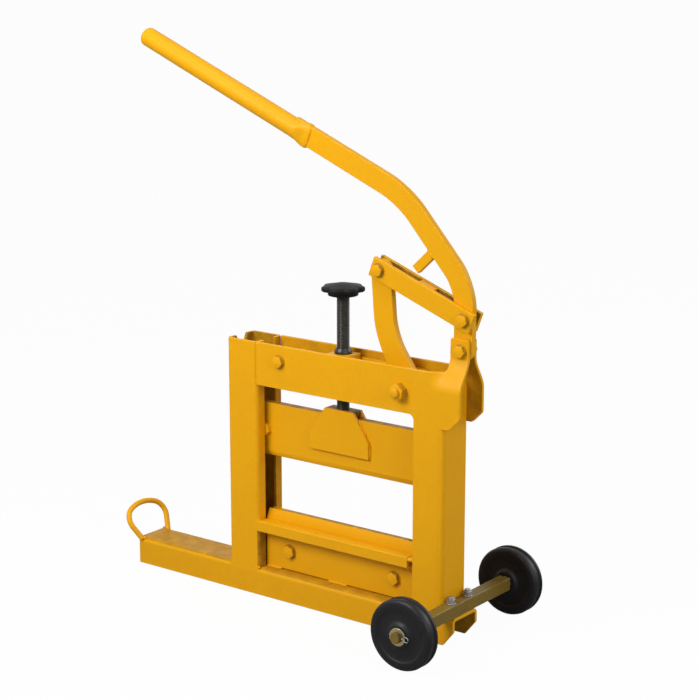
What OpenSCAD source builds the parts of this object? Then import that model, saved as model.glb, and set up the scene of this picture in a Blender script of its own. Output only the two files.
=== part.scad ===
// Masonry block splitter. A folded and welded steel frame holds a fixed lower blade and
// guides an upper blade. A hand screw sets the upper blade's height, and a lever, a pair
// of links and a rocker press it down. X runs along the base, -Y is the front, Z is up.

/* [Frame] */
// Width of the frame over both uprights
frame_w = 460; // [430:1:500]
// Depth of the folded frame and of the base
frame_d = 72; // [70:1:80]
// Height of the frame above the base
frame_h = 411; // [405:1:450]
// Thickness of the folded sheet
sheet_t = 6; // [5:0.5:7]
// Outside radius of the folds
fold_r = 9; // [8:0.5:12]
// Width of the left upright
left_w = 68; // [60:1:76]
// Width of the right column
right_w = 60; // [58:1:66]
// Height of the head rail
rail_h = 76; // [72:1:84]
// Gap between the lips that guide the blade
slot_w = 30; // [30:0.5:34]
// Fillet in the upper right corner of the window
window_fillet = 10; // [4:1:16]
// Depth of the notch in the top of the left upright's web
notch_h = 16; // [8:1:24]
// Width of that notch at its top
notch_w = 30; // [20:1:40]
// Thickness of the guide bars behind the column's edges
guide_t = 8; // [6:0.5:10]
// Distance of the tie bolt from the left side of the frame
tie_x = 118; // [110:1:122]
// Depth of the tie bolt below the top of the frame
tie_drop = 27.5; // [24:0.5:32]
// Reach of the ears to the left of the lever pivot
ear_in = 19.5; // [18:0.5:21]
// Reach of the ears to the right of the lever pivot
ear_out = 15.5; // [15:0.5:20]
// Height of the ears above the lever pivot
ear_rise = 20; // [18:1:24]
// Reach of the ears below the top of the frame
ear_hang = 91; // [80:1:100]
// Cut lower corner of the ears
ear_cut = 21; // [16:1:28]
// Fillet between ear and rail
ear_fillet = 8; // [4:1:10]
// Round upper corners of the ears
ear_round = 4; // [2:0.5:8]
// Depth below the top of the frame where the ears start to step inwards
joggle_low = 23; // [18:1:28]
// Height above the top of the frame where that step ends
joggle_high = 18; // [12:1:19]

/* [Base] */
// Reach of the base to the left of the frame
base_left = 222; // [180:1:260]
// Reach of the base to the right of the frame
base_right = 23; // [22.5:0.5:30]
// Length of the cut corner at the right end of the base's flanges
base_cut_l = 21; // [12:1:24]
// Height of that cut corner
base_cut_h = 26; // [20:1:34]
// Rod of the carrying loop
loop_rod = 10; // [8:0.5:12]
// Height of the loop's rod above the base, measured along the loop
loop_h = 67; // [56:1:74]
// Width of the loop between rod centres
loop_w = 95; // [86:1:110]
// Bend radius of the loop
loop_r = 34; // [28:1:36]
// Lean of the loop away from the frame, in degrees
loop_lean = 30; // [10:1:40]

/* [Wheels] */
// Diameter of the wheels
wheel_d = 122; // [118:1:130]
// Width of the wheels
wheel_w = 28; // [24:1:32]
// Section of the square axle bar
axle_bar = 22; // [20:1:24]
// Length of the square part of the axle
axle_l = 280; // [260:1:300]
// Diameter of the turned axle ends
stub_d = 18; // [16:1:20]
// Turned end left beyond the cotter pin
stub_end = 4; // [3:0.5:6]
// Distance of the axle's studs from the middle of the base
stud_y = 24; // [20:0.5:25]
// Length of the wheel hubs
hub_l = 34; // [32:1:38]
// Outside radius of the wheel hubs
hub_outer = 21; // [18:0.5:24]
// Round edges of the tread
rim_round = 5; // [3:0.5:6]
// Wall of the bushes in the hubs
bush_wall = 2; // [1.5:0.1:3]
// Thickness of the washers on the axle's ends
washer_t = 2; // [1.5:0.1:3]
// Diameter of those washers
washer_d = 30; // [26:0.5:34]
// Wire of the cotter pins
pin_d = 3.2; // [2.5:0.1:4]
// Length of the cotter pins below their ring
cotter_l = 30; // [26:1:34]
// Radius of the cotter pins' ring
ring_r = 3.5; // [3:0.1:5]

/* [Lever] */
// Thickness of the lever and of the rocker
lever_t = 12; // [10:0.5:14]
// Width of the lever bar
lever_w = 36; // [34:1:40]
// Distance of the lever pivot to the right of the frame
pivot_out = 14.5; // [13:0.5:18]
// Height of the lever pivot above the frame
pivot_rise = 36; // [34:1:42]
// Distance between lever pivot and link pivot
lever_arm = 52; // [50:1:56]
// Tilt of the lever's short arm from upright, in degrees
arm_tilt = 6.3; // [3:0.1:9]
// Distance from the lever pivot to the lower bend
lower_bend_l = 103; // [98:0.5:108]
// Tilt of the lever's lower part from upright, in degrees
lower_tilt = 0.8; // [0:0.1:3]
// Distance between the two bends
bend_span = 184; // [176:1:192]
// Direction of the bar between the bends, in degrees
span_dir = 131.7; // [129:0.1:134]
// Distance from the upper bend to the end of the handle
handle_l = 612.5; // [560:0.5:660]
// Direction of the handle, in degrees
handle_dir = 157.2; // [155:0.1:160]
// Length of the handle tube
tube_l = 396; // [360:1:420]
// Outside diameter of the handle tube
tube_d = 33.7; // [30:0.1:36]
// Wall of the handle tube
tube_wall = 3.2; // [2:0.1:4]
// Radius of the lower bend at the middle of the bar
lower_bend_r = 95; // [70:1:110]
// Radius of the upper bend at the middle of the bar
upper_bend_r = 170; // [120:1:190]
// Depth of the bar in the flattened end of the tube
tube_grip = 30; // [24:1:32]
// Length of the tube's flattened end with its flare
flare_l = 62; // [54:1:70]
// Length of the flat part of that end
flat_l = 34; // [33:1:40]
// Round of the tube's closed end
dome_r = 8; // [5:0.5:12]
// Width of the stop under the lever
stop_w = 16; // [14:1:20]
// Thickness of that stop
stop_t = 10; // [8:0.5:12]
// Reach of the stop below the lever
stop_l = 42; // [36:1:44]
// Distance of the stop from the lower bend
stop_place = 79; // [74:1:84]
// Direction of the stop, in degrees
stop_dir = 223; // [218:1:228]

/* [Links and rocker] */
// Radius of the rocker's bend at its middle
bend_r = 60; // [40:1:70]
// Length of the links between their pivots
link_l = 179.3; // [177:0.1:182]
// Width of the links
link_w = 34; // [30:1:36]
// Thickness of one link
link_t = 8; // [6:0.5:10]
// Length of the rocker from its pivot to the links
rocker_l = 200; // [197:1:203]
// Distance of the rocker pivot to the left of the right column
rocker_in = 27; // [25:1:30]
// Depth of the rocker pivot below the top of the frame
rocker_drop = 40; // [38:1:42]
// Width of the rocker arm
rocker_w = 40; // [36:1:42]
// Distance from the rocker pivot to its bend
knee_l = 95; // [85:1:105]
// Angle between the rocker's bend and its upper pivot, in degrees
knee_turn = 16; // [10:1:20]
// Thickness of the cheeks that carry the screw nut
cheek_t = 8; // [6:0.5:8]
// Radius of the cheeks round the hub
cheek_r = 26; // [24:0.5:28]
// Wall of the cheeks' eyes round the trunnions
eye_wall = 8; // [6:0.5:9]
// Length of the links beyond their pivots
link_end = 16; // [15:0.5:18]
// Length of the spacer between the links
spacer_l = 32; // [24:1:34]
// Height of that spacer
spacer_h = 16; // [12:1:18]
// Distance of the spacer from the lever's link pivot
spacer_place = 89; // [84:1:94]
// Offset of the spacer towards the upper edge of the links
spacer_up = 8.5; // [4:0.5:8.5]
// Radius of the rocker's hub
hub_r = 20; // [18:0.5:21]
// Radius of the rocker's boss round the hub
boss_r = 27; // [26:0.5:30]
// Length of the rocker's tail
tail_l = 68; // [66:1:70]
// Direction of the tail, in degrees
tail_dir = 17; // [12:1:20]
// Radius of the tail's end
tail_r = 11; // [10:0.5:12]
// Hole in the tail for the spring's hook
tail_hole_d = 8; // [7.5:0.5:9]

/* [Blades and screw] */
// Thickness of the upper blade
blade_t = 15; // [12:0.5:16]
// Height of the upper blade
blade_h = 96; // [88:1:102]
// Clear height between the blades
opening_h = 97; // [94:1:104]
// Height of the lower blade above the base
lower_h = 105.5; // [100:0.5:112]
// Thickness of the lower blade
lower_t = 10; // [8:0.5:12]
// Length of the cut upper corners of the lower blade
corner_cut_l = 32; // [20:1:40]
// Height of those cut corners
corner_cut_h = 22; // [12:1:30]
// Thickness of the panels that clamp the lower blade
panel_t = 8; // [6:0.5:9]
// Height of the bevel along the top of the panels
bevel_h = 18; // [12:1:24]
// Height of the ledge bars
ledge_h = 19; // [15:1:24]
// Corner cut off one end of each ledge bar
ledge_cut = 18; // [10:1:20]
// Height of the clamp bolts above the base
clamp_rise = 36; // [30:1:42]
// Distance of the clamp bolts from the ends of the panels
clamp_in = 52; // [40:1:64]
// Bevel at the bottom of the upper blade
edge_bevel = 5; // [3:0.5:6]
// Distance of the screw to the left of the rocker pivot
screw_reach = 144; // [138:1:150]
// Diameter of the adjusting screw
screw_d = 22; // [20:1:24]
// Length of the screw above the blade
screw_l = 209; // [206:1:220]
// Diameter of the star knob
knob_d = 75; // [66:1:84]
// Height of the star knob
knob_h = 21; // [18:1:26]
// Number of lobes on the knob
knob_lobes = 7; // [5:1:9]
// Radius of the hollows between the lobes
hollow_r = 9; // [7:0.5:12]
// Height of the round step under the knob
step_h = 6; // [4:0.5:8]
// Diameter of that step
step_d = 52; // [44:1:56]
// Height of the knob's crown
crown_h = 5; // [3:0.5:7]
// Diameter of the crown at its foot
crown_d = 50; // [40:1:54]
// Depth of the screw in the knob
knob_seat = 14; // [10:1:15]
// Diameter of the journal at the screw's foot
journal_d = 11; // [10:0.5:12]
// Diameter of the keeper pin
keeper_d = 4; // [3:0.5:5]
// Width of the screw nut
nut_w = 44; // [38:1:48]
// Reach of the nut below its trunnions
nut_low = 20; // [16:1:22]
// Reach of the nut above its trunnions
nut_high = 23; // [20:1:26]
// Height of the trunnions above the rocker pivot
trunnion_rise = 13.5; // [10:0.5:15]
// Diameter of the nut's trunnions
trunnion_d = 16; // [14:0.5:18]
// Diameter of the collar on the nut
collar_d = 34; // [30:1:38]
// Height of that collar
collar_h = 10; // [8:0.5:14]
// Thickness of the saddle plates
saddle_t = 6; // [5:0.5:7]
// Width of the saddle plates at the top
saddle_top_w = 61; // [54:1:68]
// Width of the saddle plates at the foot
saddle_low_w = 125; // [110:1:140]
// Height of the saddle plates
saddle_h = 77; // [68:1:84]
// Height of the saddle plates' upright sides
saddle_side_h = 28; // [20:1:36]
// Height of the block that joins the saddle plates above the blade
saddle_block_h = 12; // [10:0.5:14]
// Reach of the upper blade into the guide slots
blade_end = 12; // [8:0.5:12]
// Gap left under the panels between their weld stitches
panel_notch = 1.4; // [1:0.1:2]

/* [Bolts] */
// Diameter of the frame and link bolts
bolt_d = 12; // [10:1:12]
// Diameter of the studs that hold the axle
stud_d = 10; // [8:1:12]
// Diameter of the rocker pivot bolt
pivot_d = 16; // [14:1:18]
// Wall of the spacer tube on the tie bolt
spacer_wall = 4; // [3:0.5:5]
// Wire of the return spring
wire_d = 3; // [2.5:0.1:3.2]
// Outside diameter of the return spring
spring_d = 20; // [18:0.5:21]
// Number of curls in the return spring
spring_curls = 26; // [18:1:28]
// Distance of the spring's anchor pin below the rocker's tail
anchor_drop = 190; // [180:1:220]
// Diameter of the anchor pin
anchor_d = 8; // [7:0.5:10]
// Straight wire between the coil and its eyes
lead_in = 10; // [6:0.5:14]

/* [Hidden] */
$fn = 64;

// Paint and metals
paint = [0.90, 0.62, 0.08];
dark_steel = [0.10, 0.10, 0.10];
zinc = [0.75, 0.75, 0.74];
brass_zinc = [0.72, 0.62, 0.34];
black_rubber = [0.07, 0.07, 0.08];

// Overrun of cuts, running clearance of a pin, side clearance of a moving plate, step where arcs meet lines
overrun = 2;
ease = 0.02;
pin_fit = 0.05;
side_fit = 0.25;

// Heights and the middle of the whole part
base_h = wheel_d / 2 - axle_bar / 2;
top_z = base_h + frame_h;
rail_z = top_z - rail_h;
half_d = frame_d / 2;
column_x = frame_w - right_w;
inner_y = half_d - sheet_t;
axle_x = frame_w + axle_bar / 2;
axle_z = base_h + axle_bar / 2;
loop_foot_x = base_left - loop_rod / 2;
loop_reach = loop_foot_x + loop_h * sin(loop_lean) + loop_rod / 2;
middle_x = (axle_x + wheel_d / 2 - loop_reach) / 2;

// Pivots of the mechanism, as X and Z
lever_pivot = [frame_w + pivot_out, top_z + pivot_rise];
link_pivot = lever_pivot + lever_arm * heading(90 - arm_tilt);
rocker_pivot = [column_x - rocker_in, top_z - rocker_drop];
rocker_eye = circles_meet(link_pivot, link_l, rocker_pivot, rocker_l);
lower_bend = lever_pivot + lower_bend_l * heading(90 - lower_tilt);
upper_bend = lower_bend + bend_span * heading(span_dir);
handle_end = upper_bend + handle_l * heading(handle_dir);
screw_x = rocker_pivot[0] - screw_reach;
trunnion = [screw_x, rocker_pivot[1] + trunnion_rise];
rocker_dir = bearing(rocker_eye - rocker_pivot);
rocker_knee = rocker_pivot + knee_l * heading(rocker_dir + knee_turn);

// Layers of the mechanism across the frame
link_y = lever_t / 2 + side_fit;
link_face = link_y + link_t;
ear_face = link_y + sheet_t;

// Heights of the blades
lower_top = base_h + lower_h;
blade_z = lower_top + opening_h;
blade_top = blade_z + blade_h;

function heading(a) = [cos(a), sin(a)];
function bearing(v) = atan2(v[1], v[0]);
function turn_angle(a, b) = (b - a + 540) % 360 - 180;
// Points in order, or in reverse order where the bend turns right
function turned(points, side) = [for (i = [0:len(points) - 1]) points[side > 0 ? i : len(points) - 1 - i]];
// The left one of the two points that lie at given distances from two centres
function circles_meet(a, ra, b, rb) =
  let (d = norm(b - a), u = (b - a) / d, m = (ra * ra - rb * rb + d * d) / (2 * d))
  a + m * u + sqrt(ra * ra - m * m) * [u[1], -u[0]];

module at_frame() {
  translate([-middle_x, 0, 0]) children();
}

// Plate between two Y faces, cut to an outline in X and Z
module plate(y0, y1) {
  translate([0, y1, 0]) rotate([90, 0, 0]) linear_extrude(y1 - y0) children();
}

// Bar along X between two X faces, with a section in Y and Z
module bar_x(x0, x1) {
  translate([x0, 0, 0]) rotate([90, 0, 90]) linear_extrude(x1 - x0) children();
}

// Round and six-sided pieces along Y at a point in X and Z
module pin_y(p, r, y0, y1) {
  translate([p[0], y1, p[1]]) rotate([90, 0, 0]) cylinder(r = r, h = y1 - y0);
}

module hex_y(p, across, y0, y1) {
  translate([p[0], y1, p[1]]) rotate([90, 0, 0]) cylinder(d = across * 2 / sqrt(3), h = y1 - y0, $fn = 6);
}

// Shares of a bolt's diameter: across flats, head height, nut height, thread end
head_across_share = 1.58;
head_h_share = 0.64;
nut_h_share = 0.85;
thread_end_share = 0.35;

// Bolt along Y with its head on the front face y0 and its nut on the rear face y1
module bolt_y(p, d, y0, y1) {
  hex_y(p, d * head_across_share, y0 - d * head_h_share, y0);
  pin_y(p, d / 2, y0, y1 + d * (nut_h_share + thread_end_share));
  difference() {
    hex_y(p, d * head_across_share, y1, y1 + d * nut_h_share);
    pin_y(p, d / 2, y1 - overrun, y1 + d * nut_h_share + overrun);
  }
}

// Rectangle with four round corners, centred
module rounded(w, d, r) {
  square([w, d - 2 * r], center = true);
  square([w - 2 * r, d], center = true);
  for (x = [-1, 1], y = [-1, 1]) translate([x * (w / 2 - r), y * (d / 2 - r)]) circle(r);
}

// Rectangle standing on its lower edge, with two round upper corners
module hood(w, h, r) {
  translate([-w / 2, 0]) square([w, h - r]);
  translate([r - w / 2, 0]) square([w - 2 * r, h]);
  for (x = [-1, 1]) translate([x * (w / 2 - r), h - r]) circle(r);
}

// Straight bar outline between two points
module strip(a, b, w) {
  translate(a) rotate(bearing(b - a)) translate([0, -w / 2]) square([norm(b - a), w]);
}

// Bar outline that follows three points with one round bend
module bent_strip(a, b, c, w, r) {
  u = heading(bearing(b - a));
  v = heading(bearing(c - b));
  turn = turn_angle(bearing(u), bearing(v));
  side = sign(turn);
  tangent = r * tan(abs(turn) / 2);
  n = side * [-u[1], u[0]];
  m = side * [-v[1], v[0]];
  centre = b - u * tangent + r * n;
  corner = b + (b - centre) * w / r;
  difference() {
    union() {
      strip(a, b + u * w / 2, w);
      strip(b - v * w / 2, c, w);
    }
    difference() {
      polygon(turned([centre, b - u * (tangent + w) - n * w, corner, b + v * (tangent + w) - m * w], side));
      translate(centre) circle(r + w / 2 + ease, $fn = 128);
      strip(a, b - u * tangent, 2 * w);
      strip(b + v * tangent, c, 2 * w);
    }
  }
  difference() {
    polygon(turned([b, b + v * tangent + m * w / 2, b - u * tangent + n * w / 2], side));
    translate(centre) circle(r - w / 2 + ease, $fn = 128);
  }
}

// Arm outline with a round eye at each end
module tapered_arm(a, ra, b, rb) {
  lean = acos((ra - rb) / norm(b - a));
  dir = bearing(b - a);
  translate(a) circle(ra + ease);
  translate(b) circle(rb + ease);
  polygon([a + ra * heading(dir - lean), b + rb * heading(dir - lean),
    b + rb * heading(dir + lean), a + ra * heading(dir + lean)]);
}

// Left upright: a folded channel whose lips leave a guide slot towards the window
module left_upright() {
  notch_foot_share = 0.5;
  color(paint) at_frame() difference() {
    translate([left_w / 2, 0, base_h]) linear_extrude(frame_h) difference() {
      rounded(left_w, frame_d, fold_r);
      rounded(left_w - 2 * sheet_t, frame_d - 2 * sheet_t, fold_r - sheet_t);
      translate([0, -slot_w / 2]) square([left_w, slot_w]);
    }
    translate([0, 0, top_z]) bar_x(-overrun, left_w / 2) polygon([
      [-notch_w / 2, overrun], [notch_w / 2, overrun], [notch_w / 2, 0],
      [notch_w / 2 * notch_foot_share, -notch_h], [-notch_w / 2 * notch_foot_share, -notch_h],
      [-notch_w / 2, 0]
    ]);
  }
}

// Outlines of the frame plates: rail and column in one sheet, and the ear for the lever
tie_point = [tie_x, top_z - tie_drop];
bolt_play = 0.3;
ear_top = lever_pivot[1] + ear_rise;
ear_right = lever_pivot[0] + ear_out;
ear_left = lever_pivot[0] - ear_in;
ear_foot = top_z - ear_hang;
fold_start = frame_w - fold_r;

// Square corner filled with a round fillet, drawn into the quadrant that sx and sy give
module corner_fillet(p, r, sx, sy) {
  translate(p) scale([sx, sy]) difference() {
    square(r);
    translate([r, r]) circle(r);
  }
}

module rail_outline() {
  translate([left_w, rail_z]) square([fold_start - left_w, rail_h]);
  translate([column_x, base_h]) square([fold_start - column_x, frame_h]);
  corner_fillet([column_x, rail_z], window_fillet, -1, -1);
}

module ear_outline() {
  difference() {
    union() {
      polygon([[fold_start, ear_foot], [ear_right - ear_cut, ear_foot], [ear_right, ear_foot + ear_cut],
        [ear_right, top_z], [fold_start, top_z]]);
      translate([(ear_left + ear_right) / 2, top_z - ear_round])
        hood(ear_in + ear_out, ear_top - top_z + ear_round, ear_round);
    }
    translate(lever_pivot) circle(d = bolt_d + bolt_play);
  }
  corner_fillet([ear_left, top_z], ear_fillet, -1, 1);
}

// Section of the ear's sheet, which steps in from the frame's face to the lever

module ear_sheet() {
  z1 = top_z - joggle_low;
  z2 = top_z + joggle_high;
  bar_x(fold_start - ear_fillet, ear_right + overrun) polygon([
    [-half_d, ear_foot], [-inner_y, ear_foot], [-inner_y, z1], [-link_y, z2], [-link_y, ear_top],
    [-ear_face, ear_top], [-ear_face, z2], [-half_d, z1]
  ]);
}

module frame_plate() {
  difference() {
    plate(-half_d, -inner_y) rail_outline();
    pin_y(rocker_pivot, (pivot_d + bolt_play) / 2, -half_d - overrun, overrun - inner_y);
    pin_y(tie_point, (bolt_d + bolt_play) / 2, -half_d - overrun, overrun - inner_y);
  }
  intersection() {
    plate(-half_d, 0) ear_outline();
    ear_sheet();
  }
}

module front_frame_plate() {
  color(paint) at_frame() frame_plate();
}

module rear_frame_plate() {
  color(paint) at_frame() mirror([0, 1, 0]) frame_plate();
}

// Web of the right column: folded round to the frame plates below the ears, flat between them
module column_web() {
  color(paint) at_frame() {
    translate([0, 0, base_h]) linear_extrude(ear_foot - base_h) intersection() {
      translate([frame_w - left_w / 2, 0]) difference() {
        rounded(left_w, frame_d, fold_r);
        rounded(left_w - 2 * sheet_t, frame_d - 2 * sheet_t, fold_r - sheet_t);
      }
      translate([fold_start, -half_d]) square([fold_r, frame_d]);
    }
    translate([frame_w - sheet_t, -inner_y, ear_foot])
      cube([sheet_t, 2 * inner_y, ear_hang - joggle_low]);
  }
}

// Guide bars behind the edges of the column, which leave the same slot as the left lips

module column_guides() {
  color(paint) at_frame() for (side = [0, 1]) mirror([0, side, 0])
    translate([column_x, -inner_y, base_h]) cube([guide_t, inner_y - slot_w / 2, rail_z - base_h]);
}

// Base: a folded channel with its web on top and cut corners at the wheels
module base_channel() {
  color(paint) at_frame() difference() {
    bar_x(-base_left, frame_w + base_right) difference() {
      hood(frame_d, base_h, fold_r);
      translate([0, -overrun]) hood(frame_d - 2 * sheet_t, base_h - sheet_t + overrun, fold_r - sheet_t);
    }
    plate(-half_d - overrun, half_d + overrun) polygon([
      [frame_w + base_right - base_cut_l, 0], [frame_w + base_right, base_cut_h],
      [frame_w + base_right + overrun, base_cut_h], [frame_w + base_right + overrun, -overrun],
      [frame_w + base_right - base_cut_l, -overrun]
    ]);
    for (y = stud_places) translate([axle_x, y, 0]) cylinder(d = stud_d + bolt_play, h = base_h + overrun);
  }
}

// Carrying loop: one bent rod, welded by its feet to the end of the base
loop_foot_y = half_d - loop_rod / 2 + sheet_t / 2;
loop_bend = [loop_w / 2 - loop_r, loop_h - loop_r];
loop_leg = norm([loop_foot_y, 0] - loop_bend);
loop_leg_dir = bearing(loop_bend - [loop_foot_y, 0]) - asin(loop_r / loop_leg);
loop_steps = 12;
loop_half = concat(
  [[loop_foot_y, 0] - loop_rod * heading(loop_leg_dir)],
  [for (i = [0:loop_steps]) let (a = loop_leg_dir - 90 + (180 - loop_leg_dir) * i / loop_steps)
    loop_bend + loop_r * heading(a)]
);
loop_path = concat(
  [for (p = loop_half) [0, p[0], p[1]]],
  [for (i = [len(loop_half) - 1:-1:0]) [0, -loop_half[i][0], loop_half[i][1]]]
);

module carry_loop() {
  rod_sides = 16;
  color(paint) at_frame() difference() {
    translate([-loop_foot_x, 0, base_h]) rotate([0, -loop_lean, 0])
      swept_tube(loop_path, loop_rod / 2, rod_sides);
    translate([-base_left, -frame_d, 0]) cube([base_left, 2 * frame_d, base_h]);
  }
}

// Lower blade: a flat bar with cut upper corners, held between two bevelled panels
blade_x0 = left_w - blade_end;
blade_x1 = column_x + blade_end;
panel_y0 = lower_t / 2;
panel_y = panel_y0 + panel_t;
ledge_top = lower_top - bevel_h;
clamp_points = [[left_w + clamp_in, base_h + clamp_rise], [column_x - clamp_in, base_h + clamp_rise]];

module lower_blade() {
  color(paint) at_frame() difference() {
    plate(-panel_y0, panel_y0) polygon([
      [left_w, base_h], [column_x, base_h], [column_x, lower_top - corner_cut_h],
      [column_x - corner_cut_l, lower_top], [left_w + corner_cut_l, lower_top],
      [left_w, lower_top - corner_cut_h]
    ]);
    for (p = clamp_points) pin_y(p, (bolt_d + bolt_play) / 2, -lower_t, lower_t);
  }
}

// Panel beside the lower blade, welded to the base in stitches with gaps left between them
stitch_shares = [[0.10, 0.42], [0.54, 0.85]];

module clamp_panel() {
  panel_l = column_x - left_w;
  difference() {
    bar_x(left_w, column_x) polygon([
      [-panel_y, base_h], [-panel_y0, base_h], [-panel_y0, lower_top], [-panel_y, ledge_top]
    ]);
    for (s = stitch_shares) translate([left_w + panel_l * s[0], -panel_y - overrun, base_h - overrun])
      cube([panel_l * (s[1] - s[0]), panel_t, panel_notch + overrun]);
    for (p = clamp_points) pin_y(p, (bolt_d + bolt_play) / 2, -panel_y - overrun, 0);
  }
}

module front_clamp_panel() {
  color(paint) at_frame() clamp_panel();
}

module rear_clamp_panel() {
  color(paint) at_frame() mirror([0, 1, 0]) clamp_panel();
}

// Ledge bar from the panel to the face of the frame, with one corner cut off
module ledge() {
  translate([0, 0, ledge_top - ledge_h]) linear_extrude(ledge_h) polygon([
    [left_w, -half_d], [column_x - ledge_cut, -half_d], [column_x, ledge_cut - half_d],
    [column_x, -panel_y], [left_w, -panel_y]
  ]);
}

module front_ledge() {
  color(paint) at_frame() ledge();
}

module rear_ledge() {
  color(paint) at_frame() translate([left_w + column_x, 0, 0]) rotate(180) ledge();
}

module clamp_bolts() {
  color(paint) at_frame() for (p = clamp_points) bolt_y(p, bolt_d, -panel_y, panel_y);
}

// Axle: a square bar bolted on the base against the column, with turned ends
stud_places = [-stud_y, stud_y];
hub_gap = 0.3;
hub_y0 = axle_l / 2 + hub_gap;
hub_y1 = hub_y0 + hub_l;
washer_y = hub_y1 + hub_gap;
cotter_y = washer_y + washer_t + pin_d / 2;
stub_y = cotter_y + pin_d / 2 + stub_end;
axle_point = [axle_x, axle_z];

module axle() {
  color([0.62, 0.47, 0.12]) at_frame() difference() {
    union() {
      translate([axle_x - axle_bar / 2, -axle_l / 2, axle_z - axle_bar / 2])
        cube([axle_bar, axle_l, axle_bar]);
      pin_y(axle_point, stub_d / 2, -stub_y, stub_y);
    }
    for (y = stud_places) translate([axle_x, y, axle_z])
      cylinder(d = stud_d + bolt_play, h = 2 * axle_bar, center = true);
    for (side = [-1, 1]) translate([axle_x, side * cotter_y, axle_z]) rotate([0, 90, 0])
      cylinder(r = pin_d / 2 + pin_fit, h = 2 * stub_d, center = true);
  }
}

// Studs welded into the base's web, with nuts on top of the axle bar
module axle_studs() {
  web_z = base_h - sheet_t;
  bar_z = axle_z + axle_bar / 2;
  across = stud_d * head_across_share * 2 / sqrt(3);
  color(zinc) at_frame() for (y = stud_places) translate([axle_x, y, 0]) {
    translate([0, 0, web_z])
      cylinder(d = stud_d, h = bar_z - web_z + stud_d * (nut_h_share + thread_end_share));
    translate([0, 0, bar_z]) difference() {
      cylinder(d = across, h = stud_d * nut_h_share, $fn = 6);
      translate([0, 0, -overrun]) cylinder(d = stud_d, h = stud_d + 2 * overrun);
    }
  }
}

// Washers that keep the wheels on, each held by a cotter pin through the axle's end

module wheel_washers() {
  color(zinc) at_frame() for (side = [0, 1]) mirror([0, side, 0]) difference() {
    pin_y(axle_point, washer_d / 2, -washer_y - washer_t, -washer_y);
    pin_y(axle_point, stub_d / 2 + pin_fit, -washer_y - washer_t - overrun, overrun - washer_y);
  }
}

module cotter_pins() {
  color(zinc) at_frame() for (side = [-1, 1]) translate([axle_x, side * cotter_y, axle_z]) rotate([0, 90, 0])
    translate([0, 0, -cotter_l / 2]) {
    cylinder(d = pin_d, h = cotter_l);
    translate([0, 0, cotter_l + ring_r]) rotate([90, 0, 0]) rotate_extrude()
      translate([ring_r, 0]) circle(d = pin_d, $fn = 24);
  }
}

// Bolts through the frame: lever pivot in the ears, rocker pivot and tie bolt in the rail
module ear_bolt() {
  color(paint) at_frame() bolt_y(lever_pivot, bolt_d, -ear_face, ear_face);
}

module rocker_bolt() {
  color(paint) at_frame() mirror([0, 1, 0]) bolt_y(rocker_pivot, pivot_d, -half_d, half_d);
}

module tie_bolt() {
  color(paint) at_frame() bolt_y(tie_point, bolt_d, -half_d, half_d);
}

module tie_spacer() {
  color(paint) at_frame() difference() {
    pin_y(tie_point, bolt_d / 2 + spacer_wall, -inner_y, inner_y);
    pin_y(tie_point, (bolt_d + bolt_play) / 2, -half_d, half_d);
  }
}

// Return spring inside the column: it pulls the rocker's tail down and so lifts the lever
tail_point = rocker_pivot + tail_l * heading(tail_dir);
anchor_point = [tail_point[0], tail_point[1] - anchor_drop];
coil_r = (spring_d - wire_d) / 2;
eye_gap = 0.5;
eye_r = (anchor_d + wire_d) / 2 + eye_gap;
tail_slant = 90 + tail_dir - acos((boss_r - tail_r) / tail_l);
tail_low = tail_r / cos(tail_slant) + wire_d / 2 * tan(tail_slant);
tail_lip = tail_low - tail_hole_d / 2;
eye_steps = 8;
hook_turn = 260;
hook_flat = cos(hook_turn / eye_steps / 2);
hook_r = (norm([lever_t / 2, tail_lip / 2]) + wire_d / 2 + eye_gap) / hook_flat;
hook_z = anchor_drop - tail_low + tail_lip / 2;
coil_z0 = eye_r + lead_in;
coil_z1 = hook_z - hook_r - lead_in;
curl_rings = 8;
coil_steps = spring_curls * curl_rings;

// Wire path from the anchor's eye up the coil to the hook in the rocker's tail
spring_path = concat(
  [for (i = [0:eye_steps]) let (a = -180 + 270 * i / eye_steps) [eye_r * cos(a), 0, eye_r * sin(a)]],
  [for (i = [1:3]) [0, 0, eye_r + (coil_z0 - eye_r) * i / 4]],
  [for (i = [0:coil_steps])
    let (a = 360 * i / curl_rings, grow = min(1, i / curl_rings, (coil_steps - i) / curl_rings))
    [coil_r * grow * cos(a), coil_r * grow * sin(a), coil_z0 + (coil_z1 - coil_z0) * i / coil_steps]],
  [for (i = [1:3]) [0, 0, coil_z1 + (hook_z - hook_r - coil_z1) * i / 4]],
  [for (i = [0:eye_steps]) let (a = -90 + hook_turn * i / eye_steps)
    [0, hook_r * cos(a), hook_z + hook_r * sin(a)]]
);
coil_gap = (coil_z1 - coil_z0) / spring_curls - wire_d;
echo(least_coil_gap = coil_gap);

function across(v, n) = let (w = v - (v * n) * n) w / norm(w);
function tangent_at(path, i) =
  let (n = len(path) - 1, d = path[min(i + 1, n)] - path[max(i - 1, 0)]) d / norm(d);
function side_list(path, i, last) =
  i == len(path) ? [] : let (s = across(last, tangent_at(path, i))) concat([s], side_list(path, i + 1, s));

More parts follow.
